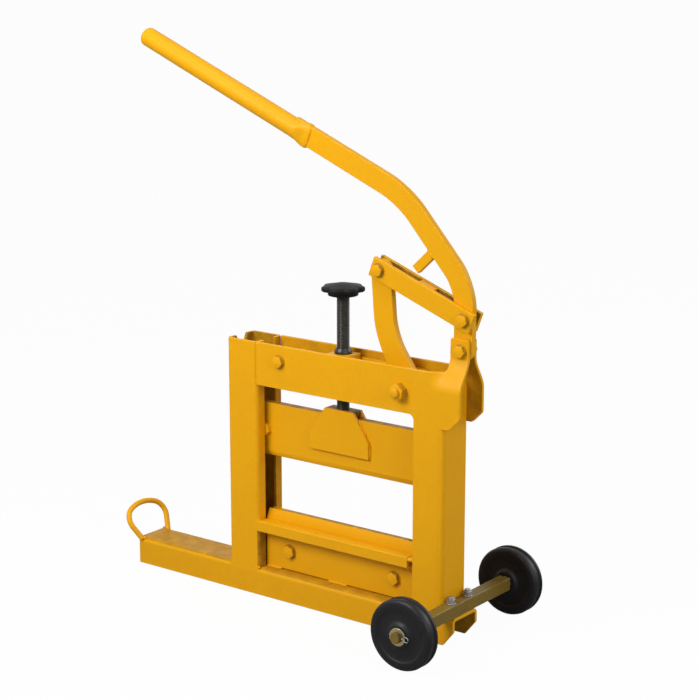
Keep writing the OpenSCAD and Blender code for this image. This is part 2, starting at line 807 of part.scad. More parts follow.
// Tube of a given number of sides along a path
module swept_tube(path, r, sides) {
  n = len(path);
  s = side_list(path, 0, across([1, 1, 1], tangent_at(path, 0)));
  points = [for (i = [0:n - 1], j = [0:sides - 1])
    let (t = tangent_at(path, i), u = s[i], v = cross(t, u), a = 360 * j / sides)
    path[i] + r * (cos(a) * u + sin(a) * v)];
  walls = [for (i = [0:n - 2], j = [0:sides - 1]) let (k = (j + 1) % sides, a = i * sides, b = a + sides)
    each [[a + j, b + j, b + k], [a + j, b + k, a + k]]];
  last = (n - 1) * sides;
  caps = [for (j = [1:sides - 2]) each [[0, j, j + 1], [last, last + j + 1, last + j]]];
  polyhedron(points, concat(walls, caps));
}

module return_spring() {
  wire_sides = 6;
  color(zinc) at_frame() translate([anchor_point[0], 0, anchor_point[1]])
    swept_tube(spring_path, wire_d / 2, wire_sides);
}

module spring_anchor() {
  color(zinc) at_frame() pin_y(anchor_point, anchor_d / 2, -inner_y, inner_y);
}

// Lever: a flat bar with two bends, from its pivot in the ears to the handle tube
bar_end = upper_bend + (handle_l - tube_l + tube_grip) * heading(handle_dir);

module lever_outline() {
  middle = (lower_bend + upper_bend) / 2;
  bent_strip(lever_pivot, lower_bend, middle + lever_w / 2 * heading(span_dir), lever_w, lower_bend_r);
  bent_strip(middle, upper_bend, bar_end, lever_w, upper_bend_r);
  translate(lever_pivot) circle(lever_w / 2 + ease);
}

module lever_bar() {
  color(paint) at_frame() difference() {
    plate(-lever_t / 2, lever_t / 2) lever_outline();
    pin_y(lever_pivot, bolt_d / 2 + pin_fit, -lever_t, lever_t);
    pin_y(link_pivot, bolt_d / 2 + pin_fit, -lever_t, lever_t);
  }
}

// Handle: a tube with a closed round end, flattened where it grips the bar
module handle_tube() {
  flare_w = lever_w + 2 * tube_wall;
  flare_t = lever_t + 2 * tube_wall;
  bore_r = tube_d / 2 - tube_wall;
  color(paint) at_frame() translate([handle_end[0], 0, handle_end[1]]) rotate([0, 90 - handle_dir, 0])
    rotate([0, 180, 0]) difference() {
      union() {
        rotate_extrude() {
          translate([0, dome_r]) square([tube_d / 2, tube_l - flare_l - dome_r]);
          square([tube_d / 2 - dome_r, dome_r]);
          intersection() {
            translate([tube_d / 2 - dome_r, dome_r]) circle(dome_r);
            square([tube_d / 2, dome_r]);
          }
        }
        hull() {
          translate([0, 0, tube_l - flare_l - tube_wall]) linear_extrude(tube_wall)
            circle(tube_d / 2 - ease, $fn = 32);
          translate([0, 0, tube_l - flat_l]) linear_extrude(flat_l)
            rounded(flare_w, flare_t, flare_t / 2 - tube_wall, $fn = 32);
        }
      }
      translate([0, 0, tube_wall]) cylinder(r = bore_r, h = tube_l - flare_l - tube_wall);
      translate([-lever_w / 2, -lever_t / 2, tube_l - tube_grip])
        cube([lever_w, lever_t, tube_grip + overrun]);
    }
}

// Stop: a short bar under the lever that meets the rocker at the end of the stroke
module lever_stop() {
  root = lower_bend + stop_place * heading(span_dir) + lever_w / 2 * heading(span_dir + 90);
  color(paint) at_frame() difference() {
    plate(-stop_t / 2, stop_t / 2)
      strip(root - stop_w * heading(stop_dir), root + stop_l * heading(stop_dir), stop_w);
    plate(-lever_t, lever_t) lever_outline();
  }
}

// Links: two flat bars outside the lever and the rocker, joined by a spacer and two bolts
link_dir = bearing(rocker_eye - link_pivot);

module link() {
  difference() {
    plate(-link_face, -link_y)
      strip(link_pivot - link_end * heading(link_dir), rocker_eye + link_end * heading(link_dir), link_w);
    for (p = [link_pivot, rocker_eye])
      pin_y(p, (bolt_d + bolt_play) / 2, -link_face - overrun, overrun - link_y);
  }
}

module front_link() {
  color(paint) at_frame() link();
}

module rear_link() {
  color(paint) at_frame() mirror([0, 1, 0]) link();
}

module link_spacer() {
  at = link_pivot + spacer_place * heading(link_dir) + spacer_up * heading(link_dir - 90);
  color(paint) at_frame() plate(-link_y, link_y)
    strip(at - spacer_l / 2 * heading(link_dir), at + spacer_l / 2 * heading(link_dir), spacer_h);
}

module lever_link_bolt() {
  color(paint) at_frame() bolt_y(link_pivot, bolt_d, -link_face, link_face);
}

module rocker_link_bolt() {
  color(paint) at_frame() bolt_y(rocker_eye, bolt_d, -link_face, link_face);
}

// Rocker: a bent arm up to the links, a tail for the spring, and two cheeks to the screw nut
eye_play = 1;

module rocker_arm() {
  color(paint) at_frame() difference() {
    plate(-lever_t / 2, lever_t / 2) {
      bent_strip(rocker_eye, rocker_knee, rocker_pivot, rocker_w, bend_r);
      translate(rocker_eye) circle(rocker_w / 2 + ease);
      tapered_arm(rocker_pivot, boss_r, tail_point, tail_r);
    }
    pin_y(rocker_eye, bolt_d / 2 + eye_play, -lever_t, lever_t);
    pin_y(rocker_pivot, hub_r + pin_fit, -lever_t, lever_t);
    pin_y(tail_point, tail_hole_d / 2, -lever_t, lever_t);
  }
}

module rocker_hub() {
  color(paint) at_frame() difference() {
    pin_y(rocker_pivot, hub_r, side_fit - inner_y, inner_y - side_fit);
    pin_y(rocker_pivot, pivot_d / 2 + pin_fit, -half_d, half_d);
  }
}

// Cheeks: they reach from the hub to the trunnions of the screw nut
cheek_gap = 1.75;
cheek_y1 = inner_y - cheek_gap;
cheek_y0 = cheek_y1 - cheek_t;
trunnion_play = 1;

module cheek() {
  difference() {
    plate(-cheek_y1, -cheek_y0) tapered_arm(rocker_pivot, cheek_r, trunnion, trunnion_d / 2 + eye_wall);
    pin_y(rocker_pivot, hub_r + pin_fit, -half_d, 0);
    pin_y(trunnion, trunnion_d / 2 + trunnion_play, -half_d, 0);
  }
}

module front_cheek() {
  color(paint) at_frame() cheek();
}

module rear_cheek() {
  color(paint) at_frame() mirror([0, 1, 0]) cheek();
}

// Screw nut: a block with two trunnions between the cheeks, and a black collar on top
nut_y = cheek_y0 - side_fit;

module trunnion_nut() {
  color(paint) at_frame() difference() {
    union() {
      translate([screw_x - nut_w / 2, -nut_y, trunnion[1] - nut_low])
        cube([nut_w, 2 * nut_y, nut_low + nut_high]);
      pin_y(trunnion, trunnion_d / 2, -cheek_y1, cheek_y1);
    }
    translate([screw_x, 0, trunnion[1]])
      cylinder(r = screw_d / 2 + pin_fit, h = 2 * frame_d, center = true);
  }
}

module nut_collar() {
  color(dark_steel) at_frame() translate([screw_x, 0, trunnion[1] + nut_high]) difference() {
    cylinder(d = collar_d, h = collar_h);
    translate([0, 0, -overrun]) cylinder(r = screw_d / 2 + pin_fit, h = collar_h + 2 * overrun);
  }
}

// Upper blade: a flat bar bevelled along its lower edge, guided in both slots
guide_z = blade_z + blade_h / 2;
guide_points = [[left_w - sheet_t / 2, guide_z], [column_x + guide_t / 2, guide_z]];

module upper_blade() {
  color(paint) at_frame() difference() {
    bar_x(blade_x0, blade_x1) polygon([
      [edge_bevel - blade_t / 2, blade_z], [blade_t / 2 - edge_bevel, blade_z],
      [blade_t / 2, blade_z + edge_bevel], [blade_t / 2, blade_top],
      [-blade_t / 2, blade_top], [-blade_t / 2, blade_z + edge_bevel]
    ]);
    for (p = guide_points) pin_y(p, (bolt_d + bolt_play) / 2, -blade_t, blade_t);
  }
}

module guide_bolts() {
  head_y = slot_w / 2 - side_fit;
  color(paint) at_frame() for (p = guide_points) {
    pin_y(p, bolt_d / 2, -blade_t / 2, blade_t / 2);
    hex_y(p, bolt_d * head_across_share, -head_y, -blade_t / 2);
    hex_y(p, bolt_d * head_across_share, blade_t / 2, head_y);
  }
}

// Saddle: two plates on the blade's sides and a block between them that holds the screw
saddle_z = blade_top + saddle_block_h;

module saddle_plate() {
  plate(-blade_t / 2 - saddle_t, -blade_t / 2) translate([screw_x, saddle_z]) polygon([
    [-saddle_top_w / 2, 0], [saddle_top_w / 2, 0], [saddle_low_w / 2, saddle_side_h - saddle_h],
    [saddle_low_w / 2, -saddle_h], [-saddle_low_w / 2, -saddle_h],
    [-saddle_low_w / 2, saddle_side_h - saddle_h]
  ]);
}

module front_saddle() {
  color(paint) at_frame() saddle_plate();
}

module rear_saddle() {
  color(paint) at_frame() mirror([0, 1, 0]) saddle_plate();
}

keeper_z = blade_top + saddle_block_h / 2;
keeper_x = screw_x + journal_d / 2;

module saddle_block() {
  block_w = saddle_top_w;
  color(paint) at_frame() difference() {
    translate([screw_x - block_w / 2, -blade_t / 2, blade_top]) cube([block_w, blade_t, saddle_block_h]);
    translate([screw_x, 0, blade_top - overrun])
      cylinder(r = journal_d / 2 + pin_fit, h = saddle_block_h + 2 * overrun);
    pin_y([keeper_x, keeper_z], keeper_d / 2 + pin_fit, -blade_t, blade_t);
  }
}

// Keeper pin: it lies in the groove of the screw's lower end, so that the blade hangs on the screw
module keeper_pin() {
  color(zinc) at_frame() pin_y([keeper_x, keeper_z], keeper_d / 2, -blade_t / 2, blade_t / 2);
}

// Adjusting screw: plain here at its outer diameter, with a grooved journal at its foot
shoulder_gap = 0.2;
screw_z0 = saddle_z + shoulder_gap;
screw_top = blade_top + screw_l;

module adjusting_screw() {
  groove_h = keeper_d + 2 * shoulder_gap;
  groove_r = journal_d / 2 - keeper_d / 2 - shoulder_gap;
  journal_z = blade_top + shoulder_gap;
  color(dark_steel) at_frame() translate([screw_x, 0, 0]) rotate_extrude() polygon([
    [0, journal_z], [journal_d / 2, journal_z], [journal_d / 2, keeper_z - groove_h / 2],
    [groove_r, keeper_z - groove_h / 2], [groove_r, keeper_z + groove_h / 2],
    [journal_d / 2, keeper_z + groove_h / 2], [journal_d / 2, screw_z0], [screw_d / 2, screw_z0],
    [screw_d / 2, screw_top + knob_seat], [0, screw_top + knob_seat]
  ]);
}

// Star knob: a lobed disc with a stepped underside, pressed on the screw
module star_knob() {
  reach = knob_d / 2 - hollow_r / 2;
  color(dark_steel) at_frame() translate([screw_x, 0, screw_top]) difference() {
    union() {
      cylinder(d = step_d, h = step_h);
      translate([0, 0, step_h]) linear_extrude(knob_h - step_h - crown_h) difference() {
        circle(d = knob_d);
        for (i = [0:knob_lobes - 1]) rotate(360 * i / knob_lobes)
          translate([reach + hollow_r, 0]) circle(hollow_r);
      }
      translate([0, 0, knob_h - crown_h]) cylinder(d1 = crown_d, d2 = crown_d / 2, h = crown_h);
    }
    translate([0, 0, -overrun]) cylinder(r = screw_d / 2 + pin_fit, h = knob_seat + overrun);
  }
}

// Wheels: solid discs with a raised rim, a long hub and a bush on the axle's end

module wheel() {
  rim_share = 0.76;
  rim_in = wheel_d / 2 * rim_share;
  web_w = wheel_w - 2 * rim_round;
  bore_r = stub_d / 2 + bush_wall + 2 * pin_fit;
  mid = (hub_y0 + hub_y1) / 2;
  translate([axle_x, -mid, axle_z]) rotate([90, 0, 0]) rotate_extrude($fn = 96) {
    translate([(rim_in + wheel_d / 2) / 2, 0]) rounded(wheel_d / 2 - rim_in, wheel_w, rim_round);
    translate([bore_r, -web_w / 2]) square([rim_in + rim_round - bore_r, web_w]);
    translate([bore_r, -hub_l / 2]) square([hub_outer - bore_r, hub_l]);
  }
}

module bush() {
  difference() {
    pin_y(axle_point, stub_d / 2 + bush_wall + pin_fit, -hub_y1, -hub_y0);
    pin_y(axle_point, stub_d / 2 + pin_fit, -hub_y1 - overrun, overrun - hub_y0);
  }
}

module front_wheel() {
  color(black_rubber) at_frame() wheel();
}

module front_wheel_bush() {
  color(brass_zinc) at_frame() bush();
}

module rear_wheel() {
  color(black_rubber) at_frame() mirror([0, 1, 0]) wheel();
}

module rear_wheel_bush() {
  color(brass_zinc) at_frame() mirror([0, 1, 0]) bush();
}

left_upright();
front_frame_plate();
rear_frame_plate();
column_web();
column_guides();
base_channel();
carry_loop();
lower_blade();
front_clamp_panel();
rear_clamp_panel();
front_ledge();
rear_ledge();
clamp_bolts();
axle();
axle_studs();
wheel_washers();
cotter_pins();
ear_bolt();
rocker_bolt();
tie_bolt();
tie_spacer();
return_spring();
spring_anchor();
lever_bar();
handle_tube();
lever_stop();
front_link();
rear_link();
link_spacer();
lever_link_bolt();
rocker_link_bolt();
rocker_arm();
rocker_hub();
front_cheek();
rear_cheek();
trunnion_nut();
nut_collar();
upper_blade();
front_saddle();
rear_saddle();
saddle_block();
keeper_pin();
guide_bolts();
adjusting_screw();
star_knob();
front_wheel();
front_wheel_bush();
rear_wheel();
rear_wheel_bush();
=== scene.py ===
import math
import random

import bmesh
import bpy
from mathutils import Matrix, Vector


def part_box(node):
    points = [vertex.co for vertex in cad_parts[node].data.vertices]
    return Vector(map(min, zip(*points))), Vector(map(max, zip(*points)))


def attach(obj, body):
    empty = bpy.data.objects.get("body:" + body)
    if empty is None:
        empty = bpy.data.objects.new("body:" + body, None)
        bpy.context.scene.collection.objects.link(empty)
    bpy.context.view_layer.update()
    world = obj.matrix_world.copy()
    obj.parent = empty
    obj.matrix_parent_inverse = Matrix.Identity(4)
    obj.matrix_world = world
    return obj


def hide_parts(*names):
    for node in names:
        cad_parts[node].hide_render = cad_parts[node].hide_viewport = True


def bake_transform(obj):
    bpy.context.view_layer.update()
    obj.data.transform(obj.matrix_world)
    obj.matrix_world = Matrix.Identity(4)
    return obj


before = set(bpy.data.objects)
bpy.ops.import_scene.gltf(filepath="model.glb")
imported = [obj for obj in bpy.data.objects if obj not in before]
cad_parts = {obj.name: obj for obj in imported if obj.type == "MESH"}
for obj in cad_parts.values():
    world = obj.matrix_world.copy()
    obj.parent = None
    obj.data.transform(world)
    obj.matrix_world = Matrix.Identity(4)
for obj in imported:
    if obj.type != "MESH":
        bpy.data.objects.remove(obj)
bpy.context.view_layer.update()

# Studio: a pale seamless floor under soft light from the front left, with a weaker sky all round.
# The camera stands where the photograph was taken, in front of the right end and a little above.
scene = bpy.context.scene
scene.view_settings.view_transform = "Standard"

view = bpy.data.cameras.new("view")
view.sensor_width = 36
view.lens = 96.6
view.clip_end = 100
camera = bpy.data.objects.new("view", view)
camera.location = (1.96695, -2.4542, 1.1761)
camera.rotation_euler = (math.radians(77.0), 0, math.radians(37.2))
scene.collection.objects.link(camera)
scene.camera = camera


def shader(material, kind, **values):
    """A node of the material's tree with its own settings."""
    node = material.node_tree.nodes.new(kind)
    for name, value in values.items():
        setattr(node, name, value)
    return node


def maths_in(tree, operation, first, second):
    """One calculation on values of a tree."""
    step = tree.nodes.new("ShaderNodeMath")
    step.operation = operation
    for place, term in enumerate((first, second)):
        if isinstance(term, (int, float)):
            step.inputs[place].default_value = term
        else:
            tree.links.new(term, step.inputs[place])
    return step.outputs[0]


floor_mesh = bmesh.new()
bmesh.ops.create_grid(floor_mesh, x_segments=4, y_segments=4, size=40)
floor_data = bpy.data.meshes.new("floor")
floor_mesh.to_mesh(floor_data)
floor_mesh.free()
floor = bpy.data.objects.new("floor", floor_data)
scene.collection.objects.link(floor)

floor_paper = bpy.data.materials.new("floor_paper")
floor_paper.use_nodes = True
links = floor_paper.node_tree.links
paper = floor_paper.node_tree.nodes["Principled BSDF"]
paper.inputs["Base Color"].default_value = (0.42, 0.42, 0.41, 1)
paper.inputs["Roughness"].default_value = 0.9
paper.inputs["Specular IOR Level"].default_value = 0.1
white = shader(floor_paper, "ShaderNodeEmission")
white.inputs["Strength"].default_value = 1.02
ray = shader(floor_paper, "ShaderNodeLightPath")
lit_share = maths_in(floor_paper.node_tree, "MULTIPLY", ray.outputs["Is Camera Ray"], 0.95)
floor_mix = shader(floor_paper, "ShaderNodeMixShader")
links.new(lit_share, floor_mix.inputs[0])
links.new(paper.outputs[0], floor_mix.inputs[1])
links.new(white.outputs[0], floor_mix.inputs[2])
links.new(floor_mix.outputs[0], floor_paper.node_tree.nodes["Material Output"].inputs[0])
floor_data.materials.append(floor_paper)

sky = bpy.data.worlds.new("studio")
sky.use_nodes = True
sky_nodes = sky.node_tree.nodes
sky_light = sky_nodes["Background"]
sky_light.inputs["Color"].default_value = (1.0, 0.99, 0.97, 1)
sky_light.inputs["Strength"].default_value = 0.24
sky_white = sky_nodes.new("ShaderNodeBackground")
sky_white.inputs["Color"].default_value = (1, 1, 1, 1)
sky_ray = sky_nodes.new("ShaderNodeLightPath")
sky_mix = sky_nodes.new("ShaderNodeMixShader")
sky_seen = maths_in(sky.node_tree, "MAXIMUM", sky_ray.outputs["Is Camera Ray"], sky_ray.outputs["Is Glossy Ray"])
sky_seen = maths_in(sky.node_tree, "MAXIMUM", sky_seen, sky_ray.outputs["Is Transmission Ray"])
sky.node_tree.links.new(sky_seen, sky_mix.inputs[0])
sky.node_tree.links.new(sky_light.outputs[0], sky_mix.inputs[1])
sky.node_tree.links.new(sky_white.outputs[0], sky_mix.inputs[2])
sky.node_tree.links.new(sky_mix.outputs[0], sky_nodes["World Output"].inputs[0])
scene.world = sky

for lamp_name, place, aim, size, watts in (
    ("key_softbox", (-0.45, -1.7, 1.6), (0.05, 0, 0.65), 1.2, 35.5),
    ("top_softbox", (-0.25, -0.55, 2.7), (-0.05, 0, 0.8), 0.9, 12),
    ("side_softbox", (2.7, -0.7, 1.5), (0, 0, 0.5), 1.6, 25),
    ("rear_softbox", (1.9, 2.6, 1.7), (0, 0, 0.4), 1.8, 30),
):
    lamp = bpy.data.lights.new(lamp_name, "AREA")
    lamp.shape = "DISK"
    lamp.size = size
    lamp.energy = watts
    lamp_object = bpy.data.objects.new(lamp_name, lamp)
    lamp_object.location = place
    lamp_object.rotation_euler = (Vector(aim) - Vector(place)).to_track_quat("-Z", "Y").to_euler()
    scene.collection.objects.link(lamp_object)

# Base: a folded steel channel, web on top, sprayed with glossy yellow machine paint.
# Its cut edges were broken with a file before painting, so the paint is thinner and paler there.
MM = 0.001


def group_socket(tree, name, way, kind="NodeSocketFloat", value=None):
    """A named input or output of a node group."""
    socket = tree.interface.new_socket(name=name, in_out=way, socket_type=kind)
    if value is not None:
        socket.default_value = value
    return socket


def noise_in(tree, coordinates, scale, detail, rough=0.55):
    """Noise on the piece's own coordinates, in features per metre."""
    noise = tree.nodes.new("ShaderNodeTexNoise")
    noise.inputs["Scale"].default_value = scale
    noise.inputs["Detail"].default_value = detail
    noise.inputs["Roughness"].default_value = rough
    tree.links.new(coordinates, noise.inputs["Vector"])
    return noise.outputs["Fac"]


def ranged_in(tree, value, low, high, out_low, out_high):
    """A value brought from one range to another, with its ends clamped."""
    span = tree.nodes.new("ShaderNodeMapRange")
    for name, number in (("From Min", low), ("From Max", high), ("To Min", out_low), ("To Max", out_high)):
        span.inputs[name].default_value = number
    tree.links.new(value, span.inputs["Value"])
    return span.outputs["Result"]


def mixed_in(tree, share, first, second):
    """Two colours mixed by a share that changes over the surface."""
    mix = tree.nodes.new("ShaderNodeMix")
    mix.data_type = "RGBA"
    tree.links.new(share, mix.inputs["Factor"])
    for name, colour in (("A", first), ("B", second)):
        socket = [s for s in mix.inputs if s.name == name and s.type == "RGBA"][0]
        if isinstance(colour, tuple):
            socket.default_value = colour
        else:
            tree.links.new(colour, socket)
    return [s for s in mix.outputs if s.type == "RGBA"][0]


# Finish group: slow cloudiness, fine speckle, rubbed edges, a face mark for painted shade and dirt, and the skin of a
# sprayed or cast surface
finish = bpy.data.node_groups.new("surface_finish", "ShaderNodeTree")
group_socket(finish, "Skin Scale", "INPUT", value=600.0)
group_socket(finish, "Edge Amount", "INPUT", value=0.6)
for output in ("Cloud", "Speckle", "Edge", "Shade and Dirt", "Skin"):
    group_socket(finish, output, "OUTPUT")
into = finish.nodes.new("NodeGroupInput")
out = finish.nodes.new("NodeGroupOutput")
place = finish.nodes.new("ShaderNodeTexCoord").outputs["Object"]
cloud = ranged_in(finish, noise_in(finish, place, 9.0, 3.0), 0.32, 0.68, 0.0, 1.0)
speckle = ranged_in(finish, noise_in(finish, place, 150.0, 4.0), 0.5, 0.78, 0.0, 1.0)
edge_mark = finish.nodes.new("ShaderNodeAttribute")
edge_mark.attribute_name = "edge"
edge_noise = ranged_in(finish, noise_in(finish, place, 60.0, 5.0, 0.7), 0.42, 0.66, 0.0, 1.0)
rubbed = maths_in(finish, "MULTIPLY", edge_mark.outputs["Fac"], edge_noise)
rubbed = maths_in(finish, "MULTIPLY", rubbed, into.outputs["Edge Amount"])
shade_dirt_mark = finish.nodes.new("ShaderNodeAttribute")
shade_dirt_mark.attribute_name = "shade_dirt"
shade_dirt_noise = ranged_in(finish, noise_in(finish, place, 45.0, 4.0, 0.6), 0.25, 0.6, 0.45, 1.0)
shade_dirt = maths_in(finish, "MULTIPLY", shade_dirt_mark.outputs["Fac"], shade_dirt_noise)
skin = finish.nodes.new("ShaderNodeTexNoise")
skin.inputs["Detail"].default_value = 2.0
finish.links.new(place, skin.inputs["Vector"])
finish.links.new(into.outputs["Skin Scale"], skin.inputs["Scale"])
for name, value in (("Cloud", cloud), ("Speckle", speckle), ("Edge", rubbed), ("Shade and Dirt", shade_dirt),
                    ("Skin", skin.outputs["Fac"])):
    finish.links.new(value, out.inputs[name])


def finished_material(name, colour, cloudy, speck, worn, rough, skin_scale, skin_height,
                      cloud_share=0.5, speck_share=0.25, edge_amount=0.6, metallic=0.0, coat=0.0, shine=0.5):
    """A material whose colour, roughness and skin vary over the piece and along its edges, darkened where faces are
    marked for painted shade and dirt.
    """
    material = bpy.data.materials.new(name)
    material.use_nodes = True
    tree = material.node_tree
    surface = tree.nodes["Principled BSDF"]
    group = shader(material, "ShaderNodeGroup", node_tree=finish)
    group.inputs["Skin Scale"].default_value = skin_scale
    group.inputs["Edge Amount"].default_value = edge_amount
    tone = mixed_in(tree, maths_in(tree, "MULTIPLY", group.outputs["Cloud"], cloud_share), colour, cloudy)
    tone = mixed_in(tree, maths_in(tree, "MULTIPLY", group.outputs["Speckle"], speck_share), tone, speck)
    tone = mixed_in(tree, group.outputs["Edge"], tone, worn)
    # Painted shade and dirt: faces marked for it are mixed towards a dark brown.
    tone = mixed_in(tree, group.outputs["Shade and Dirt"], tone, (0.055, 0.042, 0.016, 1))
    tree.links.new(tone, surface.inputs["Base Color"])
    gloss = ranged_in(tree, group.outputs["Cloud"], 0.0, 1.0, rough[0], rough[1])
    gloss = maths_in(tree, "ADD", gloss, maths_in(tree, "MULTIPLY", group.outputs["Speckle"], 0.08))
    tree.links.new(gloss, surface.inputs["Roughness"])
    bump = shader(material, "ShaderNodeBump")
    bump.inputs["Strength"].default_value = 0.35
    bump.inputs["Distance"].default_value = skin_height
    tree.links.new(group.outputs["Skin"], bump.inputs["Height"])
    tree.links.new(bump.outputs[0], surface.inputs["Normal"])
    surface.inputs["Metallic"].default_value = metallic
    surface.inputs["Specular IOR Level"].default_value = shine
    surface.inputs["Coat Weight"].default_value = coat
    surface.inputs["Coat Roughness"].default_value = 0.12
    return material


yellow_paint = finished_material(
    "yellow_paint", (0.82, 0.39, 0.004, 1), (0.76, 0.36, 0.004, 1), (0.66, 0.30, 0.006, 1),
    (0.92, 0.50, 0.03, 1), (0.36, 0.48), 500.0, 0.00006, edge_amount=0.45, coat=0.02, shine=0.12)


def new_piece(name, shape, material, body, nodes=(), smooth=40):
    """A finished mesh put on its body, with its material and the cut pieces it stands for."""
    data = bpy.data.meshes.new(name)
    shape.to_mesh(data)
    shape.free()
    data.polygons.foreach_set("use_smooth", [True] * len(data.polygons))
    data.set_sharp_from_angle(angle=math.radians(smooth))
    data.materials.append(material)
    piece = bpy.data.objects.new(name, data)
    scene.collection.objects.link(piece)
    if body:
        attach(piece, body)
    if nodes:
        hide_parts(*nodes)
    return piece


def rounded(shape, width, segments=2, shade_dirt=0.0):
    """Sharp edges rounded, one connected group after the other, and marked for wear, and top faces marked for painted
    shade and dirt.
    """
    mark = shape.faces.layers.float.new("edge")
    shade_dirt_layer = shape.faces.layers.float.new("shade_dirt")
    sharp = dict.fromkeys(e for e in shape.edges if e.is_manifold and e.calc_face_angle() > math.radians(32))
    while sharp:
        group = [sharp.popitem()[0]]
        for edge in group:
            near = [e for v in edge.verts for e in v.link_edges if e in sharp]
            for e in near:
                del sharp[e]
            group += near
        made = bmesh.ops.bevel(shape, geom=group, offset=width * MM, offset_type="OFFSET", segments=segments,
                               profile=0.5, affect="EDGES", clamp_overlap=True, material=-1)
        for face in made["faces"]:
            face[mark] = 1.0
    shape.normal_update()
    for face in shape.faces:
        if face.normal.z > 0.6:
            face[shade_dirt_layer] = shade_dirt


def even_piece(name, shape, material, body, nodes):
    """A rounded shape made a piece whose large faces are shaded flat."""
    piece = new_piece(name, shape, material, body, nodes, smooth=60)
    normals = piece.modifiers.new("even_faces", "WEIGHTED_NORMAL")
    normals.keep_sharp = True
    normals.weight = 80
    return piece


def edged_piece(name, shape, material, body, nodes, width, segments=2, shade_dirt=0.0):
    """A closed shape made a piece with rounded edges."""
    rounded(shape, width, segments, shade_dirt)
    return even_piece(name, shape, material, body, nodes)


def cut_across(shape, point, way, **sides):
    """A shape cut by a plane through a point."""
    parts = shape.verts[:] + shape.edges[:] + shape.faces[:]
    return bmesh.ops.bisect_plane(shape, geom=parts, plane_co=point, plane_no=way, **sides)


def broken_edges(name, node, material, body, width, shade_dirt=0.0, split_z=0.0, merge=0.12):
    """A copy of a cut piece with its sharp edges rounded; its faces can be split at one height."""
    shape = bmesh.new()
    shape.from_mesh(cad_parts[node].data)
    bmesh.ops.remove_doubles(shape, verts=shape.verts, dist=merge * MM)
    bmesh.ops.dissolve_degenerate(shape, edges=shape.edges, dist=0.06 * MM)
    bmesh.ops.dissolve_limit(shape, angle_limit=math.radians(0.8), verts=shape.verts, edges=shape.edges)
    if split_z:
        cut_across(shape, (0, 0, split_z), (0, 0, 1))
    return edged_piece(name, shape, material, body, (node,), width, shade_dirt=shade_dirt)


# The base's top faces are darkened. The faces under the web and inside the flanges get painted shade, and all its other
# sides get a little painted shade.
base_sheet = broken_edges("base_channel_sheet", "base_channel", yellow_paint, "frame", 0.9, shade_dirt=0.48)
painted_shade_marks = base_sheet.data.attributes["shade_dirt"].data
for face in base_sheet.data.polygons:
    under_web = face.normal.z < -0.5 and face.center.z > 30 * MM
    in_flange = face.center.y * face.normal.y < 0 and abs(face.normal.y) > 0.5
    if face.normal.z < 0.6:
        painted_shade_marks[face.index].value = 0.6 if under_web or in_flange else 0.06

# Carrying loop: a round steel rod bent to a loop with two flared legs and welded upright on
# the left end of the base, leaning a little outwards.
def bent_wire(shape, path, radii, sides=12):
    """A round wire or bead along a path: one ring, extruded, turned and sized from point to point."""
    points = [Vector(point) for point in path]
    last = len(points) - 1
    aims = [(points[min(i + 1, last)] - points[max(i - 1, 0)]).normalized() for i in range(last + 1)]
    upright = Vector((0, 0, 1)).rotation_difference(aims[0]).to_matrix().to_4x4()
    ring = bmesh.ops.create_circle(shape, segments=sides, radius=radii[0],
                                   matrix=Matrix.Translation(points[0]) @ upright)["verts"]
    edges = list({e for v in ring for e in v.link_edges})
    ends = list(edges)
    for i in range(1, last + 1):
        grown = bmesh.ops.extrude_edge_only(shape, edges=edges)["geom"]
        ring = [g for g in grown if isinstance(g, bmesh.types.BMVert)]
        edges = list({e for v in ring for e in v.link_edges if e.other_vert(v) in ring})
        bmesh.ops.translate(shape, verts=ring, vec=points[i] - points[i - 1])
        bmesh.ops.rotate(shape, verts=ring, cent=points[i],
                         matrix=aims[i - 1].rotation_difference(aims[i]).to_matrix())
        grow = radii[i] / radii[i - 1]
        bmesh.ops.scale(shape, verts=ring, vec=(grow, grow, grow), space=Matrix.Translation(-points[i]))
    bmesh.ops.holes_fill(shape, edges=ends + edges)
    bmesh.ops.recalc_face_normals(shape, faces=shape.faces)


def arc_points(centre, radius, first, final, steps, u, v):
    """Points of an arc in the plane of two directions, angles in radians."""
    angles = [first + (final - first) * i / steps for i in range(steps + 1)]
    return [Vector(centre) + radius * (math.cos(a) * Vector(u) + math.sin(a) * Vector(v)) for a in angles]


base_low, base_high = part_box("base_channel")
loop_rod, loop_lean = 10 * MM, math.radians(30)
loop_up = Vector((-math.sin(loop_lean), 0, math.cos(loop_lean)))
loop_foot = Vector((base_low.x + loop_rod / 2, 0, base_high.z))
foot_y, loop_top = 36.5 * MM, 62 * MM
crown_r, crown_turn, shoulder_r = 80 * MM, math.radians(66.8), 26 * MM
crown_up = loop_top - crown_r
shoulder_y = (crown_r - shoulder_r) * math.cos(crown_turn)
shoulder_up = crown_up + (crown_r - shoulder_r) * math.sin(crown_turn)
leg_reach = math.hypot(foot_y - shoulder_y, shoulder_up)
leg_angle = math.atan2(shoulder_up, shoulder_y - foot_y) - math.asin(shoulder_r / leg_reach)
foot_start = loop_foot + Vector((0, foot_y, 0)) - 0.35 * loop_rod * (
    math.cos(leg_angle) * Vector((0, 1, 0)) + math.sin(leg_angle) * loop_up)
shoulder = arc_points(loop_foot + Vector((0, shoulder_y, 0)) + shoulder_up * loop_up, shoulder_r,
                      leg_angle - math.pi / 2, crown_turn, 18, (0, 1, 0), loop_up)
crown = arc_points(loop_foot + crown_up * loop_up, crown_r, crown_turn, math.pi / 2, 8, (0, 1, 0), loop_up)
half_loop = [foot_start] + shoulder + crown[1:]
loop_path = half_loop + [Vector((p.x, -p.y, p.z)) for p in reversed(half_loop[:-1])]
loop_shape = bmesh.new()
bent_wire(loop_shape, loop_path, [loop_rod / 2] * len(loop_path), 24)
new_piece("carrying_loop_rod", loop_shape, yellow_paint, "frame", ("carry_loop",))

